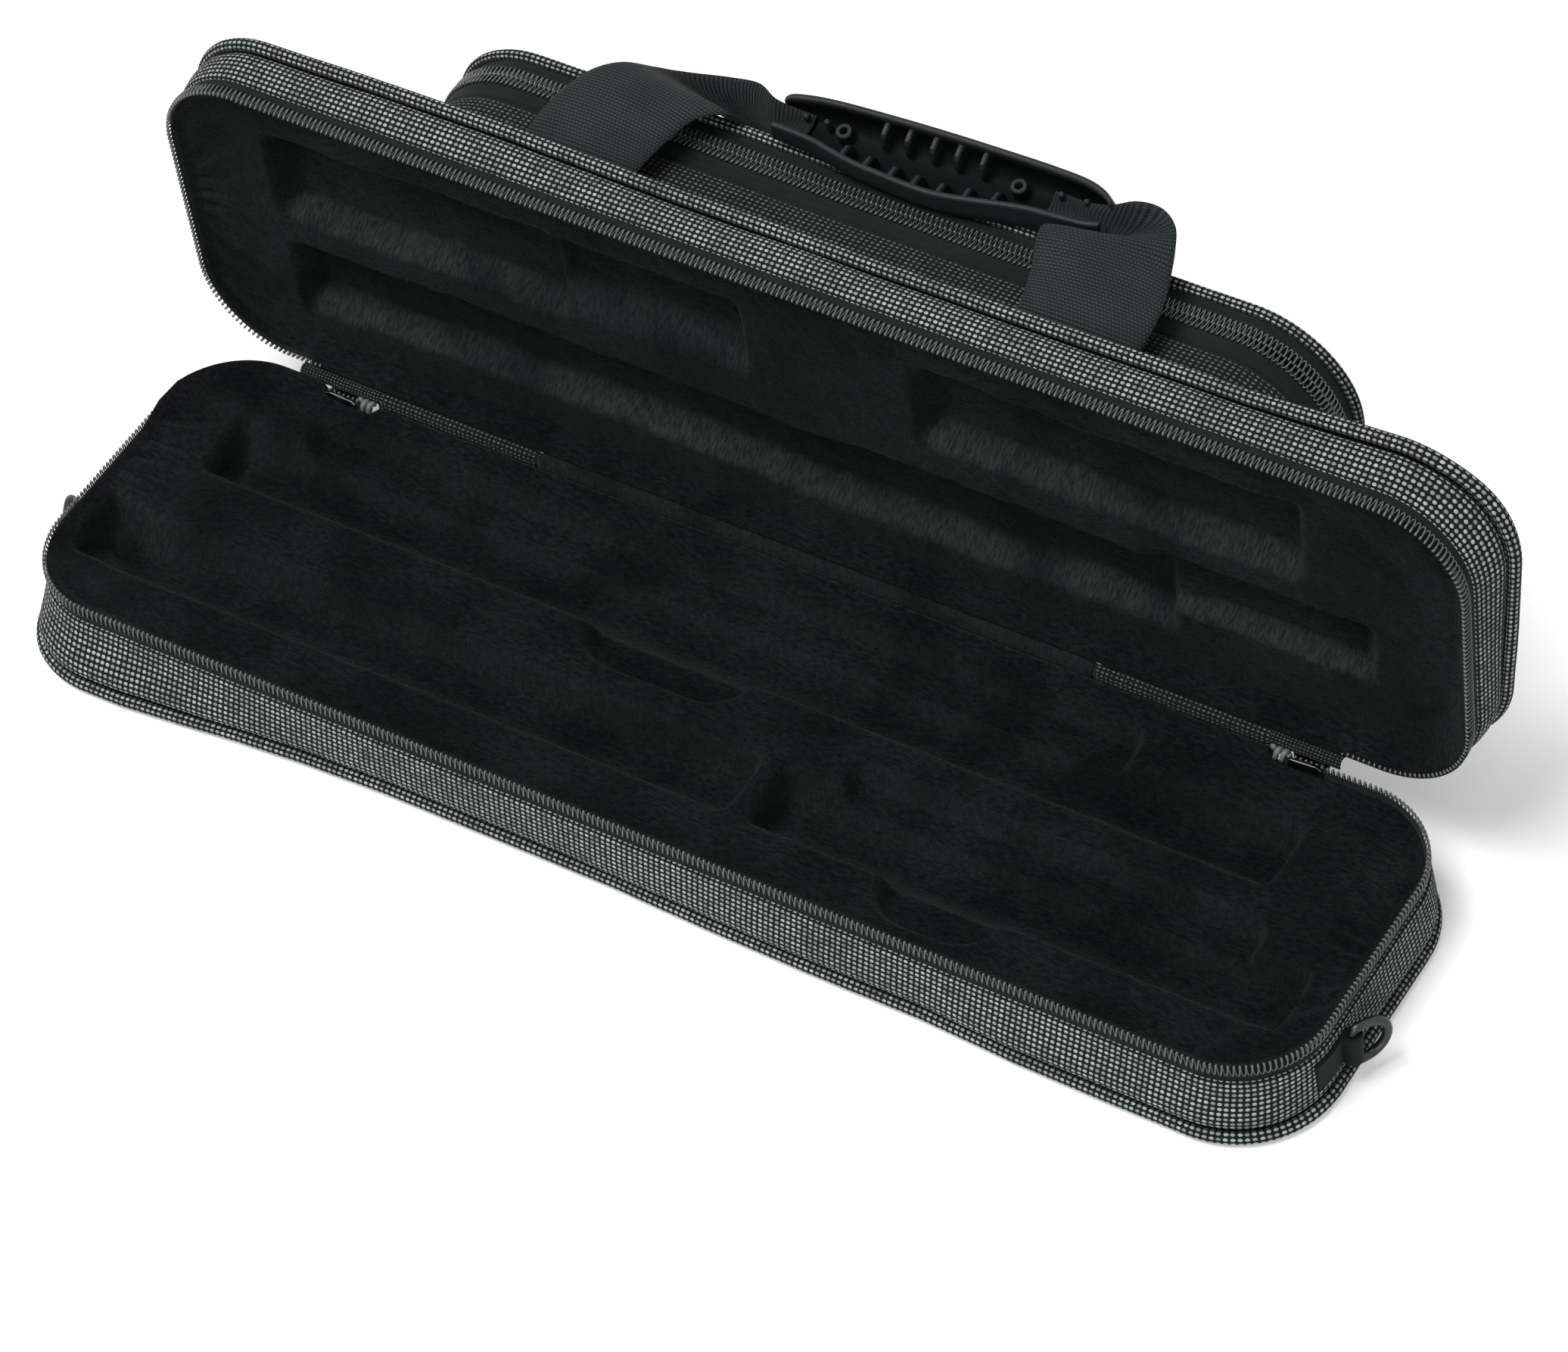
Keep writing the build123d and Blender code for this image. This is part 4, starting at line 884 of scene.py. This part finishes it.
# ======== handle webbing
# Points of the outer edge, the middle and the inner edge, from the stitched lower end to the grip;
# each curve starts with the two points of STRAP_START at its own x.
STRAP_START = ((80.1, 128.6), (80.6, 134.0))
STRAPS = {
    "left": (
        (-99, [(-98.5, 83.5, 136.9), (-98, 97, 137.8), (-94.5, 109, 138.6), (-88, 116.5, 138.6),
            (-80, 121.5, 135.8), (-69, 124.6, 135.2), (-56, 125.2, 138.0), (-45.5, 124.2, 140.7),
            (-38, 120.9, 140.6), (-32, 123.0, 137.2), (-27, 124.4, 135.5)]),
        (-80, [(-79.6, 83.5, 137.5), (-78.5, 96, 139.2), (-75, 108, 140.2), (-70.5, 113.8, 139.4),
            (-68, 118.8, 134.0), (-63, 122.2, 128.6), (-54, 124.0, 127.8), (-46, 123.0, 130.4),
            (-38.5, 120.2, 133.4), (-32, 120.6, 133.6), (-27, 121.1, 133.1)]),
        (-61, [(-60.4, 83.5, 137.0), (-58.5, 94, 138.5), (-55, 105, 139.6), (-49, 111.4, 138.2),
            (-48, 116.2, 131.8), (-48, 120.8, 124.4), (-45.5, 122.6, 120.6), (-40.8, 121.2, 123.4),
            (-36.8, 118.2, 131.4), (-31.6, 117.6, 134.2), (-27, 117.3, 133.4)])),
    "right": (
        (99, [(101.5, 83.5, 136.9), (100, 97, 138.0), (96.5, 108, 138.8), (93, 117, 139.6),
            (89, 124.2, 140.8), (82.8, 127.8, 141.8), (75.6, 127.2, 141.9), (69, 124.8, 140.0),
            (61, 125.4, 137.0), (55, 125.9, 136.5), (50, 126.2, 136.2)]),
        (80, [(82.0, 83.5, 137.5), (80, 97, 139.3), (77, 107.5, 140.4), (76, 113.6, 139.9),
            (76.4, 118.6, 135.4), (76, 122.0, 133.0), (73, 122.2, 132.8), (67.5, 122.0, 133.6),
            (61, 122.7, 134.0), (55, 122.8, 133.4), (50, 122.8, 133.1)]),
        (61, [(63.0, 83.5, 137.0), (60, 95, 138.6), (56, 105.5, 140.0), (56, 109.8, 140.4),
            (59, 111.6, 138.6), (64.5, 112.4, 136.2), (70.5, 113.9, 134.6), (73, 117.0, 134.4),
            (67.5, 119.2, 134.6), (58, 118.9, 133.9), (50, 118.7, 133.3)])),
}


def webbing_band(name, curves):
    """Webbing led through three curves: its outer edge, its middle and its inner edge."""
    edges = [spline([(start, *k) for k in STRAP_START] + points, 110) for start, points in curves]
    t = np.linspace(0, 1, 17)
    shares = 2 * (t - 0.5) * (t - 1), 4 * t * (1 - t), 2 * t * (t - 0.5)
    mid = sum(edge[:, None] * share[None, :, None] for edge, share in zip(edges, shares))
    normal = normed(np.cross(np.gradient(mid, axis=1), np.gradient(mid, axis=0)))
    half = STRAP_THICK / 2 * np.clip(1 - abs(2 * t - 1) ** 10, 0.3, 1)[None, :, None]
    points = np.concatenate([mid + normal * half, (mid - normal * half)[:, ::-1]], 1)
    steps = np.linalg.norm(np.diff(mid[:, len(t) // 2], axis=0), axis=1)
    u = np.concatenate([[0], np.cumsum(steps)])
    back = STRAP_WIDTH + STRAP_THICK
    v = np.concatenate([t * STRAP_WIDTH, back + t * STRAP_WIDTH, [2 * back]])
    return grid(name, points, webbing, u, v, loop_v=True)


for word, curves in STRAPS.items():
    band = webbing_band(f"strap_{word}", curves)
    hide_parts(f"strap_anchor_{word}", f"strap_band_{word}")
    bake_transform(band)

# ======== grip
GRIP_TILT = math.radians(17.5)
GRIP_ORIGIN = np.array([2.05, 119.4, 139.75])
GRIP_ACROSS = np.array([0, -math.cos(GRIP_TILT), -math.sin(GRIP_TILT)])
GRIP_DEEP = np.array([0, math.sin(GRIP_TILT), -math.cos(GRIP_TILT)])
GRIP_MIDDLE, GRIP_HALF = 15.0, 52.0
GRIP_WALL = 1.1  # half the thickness of the rim of the grip's walls
FAR_RIM = ((-37.5, -3.4), (-34.7, -5.4), (-23.5, -7.4), (-4.2, -8.7), (14.9, -9.5), (34.2, -9.9),
           (46.8, -10.0), (57.2, -9.6), (63.5, -8.1), (67.5, -5.6))
NEAR_RIM = ((-37.5, 7.0), (-29.6, 7.2), (-22.7, 7.8), (-15.3, 9.2), (-8.3, 10.2), (-1.6, 10.6),
            (5.2, 11.0), (11.8, 11.2), (18.2, 10.9), (25.3, 9.8), (32.3, 8.4), (41.4, 6.6),
            (48.6, 5.7), (55, 5.3), (62, 4.8), (67.5, 3.4))


def lofted(name, parts, material):
    """Solid pieces, each made of stacked rings of points in millimetres."""
    verts, faces = [], []
    for rings in parts:
        start, n = len(verts), len(rings[0])
        verts += (np.concatenate(rings) * 0.001).tolist()
        faces += (quads_over(len(rings), n, loop_v=True)[2][:, [0, 3, 2, 1]] + start).tolist()
        faces += [list(range(start, start + n))[::-1], list(range(len(verts) - n, len(verts)))]
    mesh = bpy.data.meshes.new(name)
    mesh.from_pydata(verts, [], faces)
    return link(name, mesh, material)


def on_grip(x, across, deep):
    """Place x along the grip, across it towards its near side and deep below its rim."""
    x, across, deep = (k[..., None] for k in spread(x, across, deep))
    return GRIP_ORIGIN + x * np.array([1.0, 0, 0]) + across * GRIP_ACROSS + deep * GRIP_DEEP


def rim_at(curve, x):
    fine = spline([(a, b, 0) for a, b in curve], 300)
    return np.interp(x, fine[:, 0], fine[:, 1])


def grip_depth(x):
    """Depth of the channel under its rim."""
    t = np.clip((x - GRIP_MIDDLE) / GRIP_HALF, -1, 1)
    return 10.8 - 1.8 * t**2 - 1.2 * np.clip((abs(t) - 0.85) / 0.15, 0, 1) ** 2


def bow(radius, depth, angle, bulge):
    """Curve from the near wall to the far one, fuller than an ellipse; bulge is for the near side."""
    c, s = np.cos(angle), np.sin(angle)
    out = 0.9 + bulge * (c > 0)
    return np.sign(c) * (radius * abs(c) ** 0.6 + out * abs(np.sin(2 * angle))), depth * abs(s) ** 0.9


def grip_shell():
    """Open channel with two rounded rims."""
    t = np.linspace(-1, 1, 100)
    x = GRIP_MIDDLE + GRIP_HALF * np.sign(t) * (1 - (1 - abs(t)) ** 1.3)
    far, near = rim_at(FAR_RIM, x), rim_at(NEAR_RIM, x)
    outer = np.radians(np.linspace(0, 180, 25))
    turn = np.radians(np.linspace(180, 360, 8))[1:-1]
    rim_y, rim_z = GRIP_WALL * np.cos(turn), GRIP_WALL * np.sin(turn)
    rows = []
    bulges = 0.6 + 1.2 * smooth(10, 45, x)
    for m, h, d, bulge in zip((far + near) / 2, (near - far) / 2, grip_depth(x), bulges):
        oy, oz = bow(h, d, outer, bulge)
        iy, iz = bow(h - 2 * GRIP_WALL, d - 1.8, outer[::-1], bulge)
        y = np.concatenate([oy, rim_y - h + GRIP_WALL, iy, rim_y + h - GRIP_WALL])
        rows.append((m + y, np.concatenate([oz, rim_z, iz, rim_z])))
    rows = np.array(rows)
    return grid("grip_shell", on_grip(x[:, None], rows[:, 0], rows[:, 1]), grip_plastic, loop_v=True)


def grip_fin(x, edge, way):
    """One moulded fin: it starts at a wall of the grip and its tip runs down to the floor."""
    far, near, deep = rim_at(FAR_RIM, x), rim_at(NEAR_RIM, x), grip_depth(x)
    rings = []
    for reach, half, top in ((-0.9, 0.95, 0.9), (1.2, 0.95, 1.0), (3.6, 0.9, 1.7), (4.5, 0.8, 2.8),
                             (5.3, 0.55, 5.2)):
        a = edge + way * reach
        share = np.clip(abs(a - (far + near) / 2) / ((near - far) / 2), 0, 0.97)
        back = max(top + 1.2, (deep - 0.9) * (1 - share**3.2) ** 0.45 - 0.3)
        rings.append([on_grip(x + p, a, q) for p, q in (
            (-half, back), (half, back), (half, top + 0.7), (half * 0.55, top), (-half * 0.55, top),
            (-half, top + 0.7))])
    return rings


def tube(x, a, profile, count=18):
    """Upright round post; profile lists its radius and its depth below the rim."""
    turn = np.arange(count) * 2 * math.pi / count
    return [on_grip(x + r * np.cos(turn), a + r * np.sin(turn), deep + 0 * turn) for r, deep in profile]


fins = [grip_fin(x, rim_at(FAR_RIM, x) + 2.1, 1) for x in (-5.9, 1.6, 9.7, 17.5, 25.6)]
fins += [grip_fin(x, rim_at(NEAR_RIM, x) - 2.1, -1) for x in (-14.0, -6.1, 2.3, 9.9, 17.9, 25.8, 34.2)]
fins += [tube(x, a, ((1.0, 7.0), (0.9, 3.0), (0.6, 2.7)), 10)
         for x, a in ((50.8, -4.0), (58.7, -4.4), (-30.7, -1.4), (-24.0, -1.7))]
boss = ((2.7, 9.4), (2.5, 4.4), (2.2, 4.1), (1.3, 4.1), (1.1, 4.4), (1.0, 7.0))
dress(grip_shell(), "handle", "grip", "handle_grip")
dress(lofted("grip_fins", fins, grip_plastic), "handle", "grip")
bosses = lofted("grip_bosses", [tube(x, a, boss) for x, a in ((37.6, -2.7), (-18.6, -1.2))], grip_plastic)
dress(bosses, "handle", "grip", "grip_rivets")

# ======== zip sliders
def plate(outline, y0, y1, bevel=0.22):
    """Rings of one upright plate: outline is in x and z."""
    p = np.array(outline, float)
    centre = p.mean(0)
    small = centre + (p - centre) * (1 - bevel / np.abs(p - centre).max())
    levels = ((small, y0), (p, y0 + bevel), (p, y1 - bevel), (small, y1))
    return [[(x, y, z) for x, z in q] for q, y in levels]


def slider(name, side):
    """Two shields with a post between them and a lug for the pull."""
    x = SLIDER_X * side
    shield = [(-5.6, 25.0), (-4.6, 24.1), (3.4, 23.6), (5.2, 24.4), (5.7, 26.4), (5.2, 28.5),
              (3.4, 29.3), (-4.6, 28.7), (-5.6, 27.8)]
    shield = [(x + a * side, b) for a, b in shield][::side]
    post = [(x + 1.43 * math.cos(a) + 3.2 * side, 26.4 + 2.0 * math.sin(a))
            for a in np.radians(np.arange(12) * 30)]
    lug = [(x + a, b) for a, b in ((-2.9, 25.6), (-2.1, 25.0), (2.1, 25.0), (2.9, 25.6), (2.9, 27.2),
                                   (2.1, 27.8), (-2.1, 27.8), (-2.9, 27.2))]
    parts = [plate(shield, 50.9, 51.9), plate(post, 51.7, 54.9, 0.1), plate(shield, 54.7, 55.7),
             plate(lug, 55.5, 58.4, 0.35)]
    return lofted(name, parts, bright_metal)


for word, side in (("left", -1), ("right", 1)):
    dress(slider(f"slider_body_{word}", side), f"zip_slider_{word}", "slider_metal", f"zip_slider_{word}")

# ======== kept CAD nodes
for material, nodes in (
    (black_metal, ("pocket_slider", "pocket_pull", "zip_pull_left", "zip_pull_right",
                   "shoulder_ring_left", "shoulder_ring_right")),
    (webbing, ("ring_tab_left", "ring_tab_right")),
):
    for node in nodes:
        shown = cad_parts[node]
        shown.data.materials.clear()
        shown.data.materials.append(material)

# ======== camera, floor and light
PHOTO_WIDTH = 2072  # in pixels, as the focal length is
FOCAL_LENGTH = 8003.63
SENSOR_WIDTH = 36.0
CAMERA_AIM = np.array([26.44, 2.39, 30.0])
CAMERA_DISTANCE = 1704.4
azimuth, elevation, lean = (math.radians(k) for k in (38.19, 48.62, -9.13))
back = np.array([math.sin(azimuth) * math.cos(elevation), -math.cos(azimuth) * math.cos(elevation),
                 math.sin(elevation)])
right = np.array([math.cos(azimuth), math.sin(azimuth), 0.0])
upward = np.cross(back, right)
side_axis = math.cos(lean) * right + math.sin(lean) * upward
up_axis = math.cos(lean) * upward - math.sin(lean) * right
eye = (CAMERA_AIM + back * CAMERA_DISTANCE) / 1000
view = bpy.data.cameras.new("photo_view")
view.sensor_width = SENSOR_WIDTH
view.lens = SENSOR_WIDTH * FOCAL_LENGTH / PHOTO_WIDTH
view.shift_x, view.shift_y = -0.00606, 0.02592
view.clip_end = 50
camera = link("photo_view", view)
camera.matrix_world = Matrix((*zip(side_axis, up_axis, back, eye), (0, 0, 0, 1)))
bpy.context.scene.camera = camera

FLOOR_HALF = 4.0  # metres
FLOOR_GLOW = (0.30, 0.95)  # seen by the camera only, near the case and far from it
WORLD_LIGHT = 0.28  # what falls on the case; the camera sees the world at full strength
floor_net = Net("studio_floor", Roughness=0.9, Specular_IOR_Level=0.1)
floor_net.finish(floor_net.mix(floor_net.noise(3, 2), (0.93, 0.93, 0.93), (0.95, 0.95, 0.95)), None, 1)
floor_net.bsdf.inputs["Emission Color"].default_value = (1, 1, 1, 1)
away = floor_net.node("VectorMath", {0: floor_net.places.outputs["Object"]}, "Value",
                      operation="LENGTH")
in_camera = floor_net.tree.nodes.new("ShaderNodeLightPath").outputs["Is Camera Ray"]
floor_net.put(floor_net.bsdf.inputs["Emission Strength"],
              floor_net.mul(in_camera, floor_net.remap(away, 0.5, 1.4, *FLOOR_GLOW)))
corners = [(x * FLOOR_HALF, y * FLOOR_HALF, 0) for x, y in ((-1, -1), (1, -1), (1, 1), (-1, 1))]
floor_mesh = bpy.data.meshes.new("floor")
floor_mesh.from_pydata(corners, [], [(0, 1, 2, 3)])
floor = link("floor", floor_mesh, floor_net.material)
floor.location.z = -0.0002

world = bpy.data.worlds.new("studio")
bpy.context.scene.world = world
world.use_nodes = True
sky = Wires(world.node_tree)
rays = sky.tree.nodes.new("ShaderNodeLightPath").outputs
seen = sky.math("MAXIMUM", rays["Is Camera Ray"], rays["Is Glossy Ray"])
seen = sky.math("MAXIMUM", seen, rays["Is Transmission Ray"])
backdrop = sky.tree.nodes["Background"]
backdrop.inputs["Color"].default_value = (1, 1, 1, 1)
sky.put(backdrop.inputs["Strength"], sky.remap(seen, 0.0, 1.0, WORLD_LIGHT, 1.0, "LINEAR"))


def lamp(name, where, target, size, power):
    """Rectangular lamp in metres and watts, turned to its target."""
    light = bpy.data.lights.new(name, "AREA")
    light.shape = "RECTANGLE"
    light.size, light.size_y = size
    light.energy = power
    z = normed(np.subtract(where, target))
    x = normed(np.cross((0, 0, 1), z))
    link(name, light).matrix_world = Matrix((*zip(x, np.cross(z, x), z, where), (0, 0, 0, 1)))


lamp("key", where=(-0.30, -0.55, 1.95), target=(0, 0, 0.05), size=(1.1, 0.8), power=33)
lamp("front_fill", where=(0.9, -1.7, 0.9), target=(0, 0, 0.08), size=(1.0, 0.7), power=9)

settings = bpy.context.scene.view_settings
settings.view_transform = "Standard"
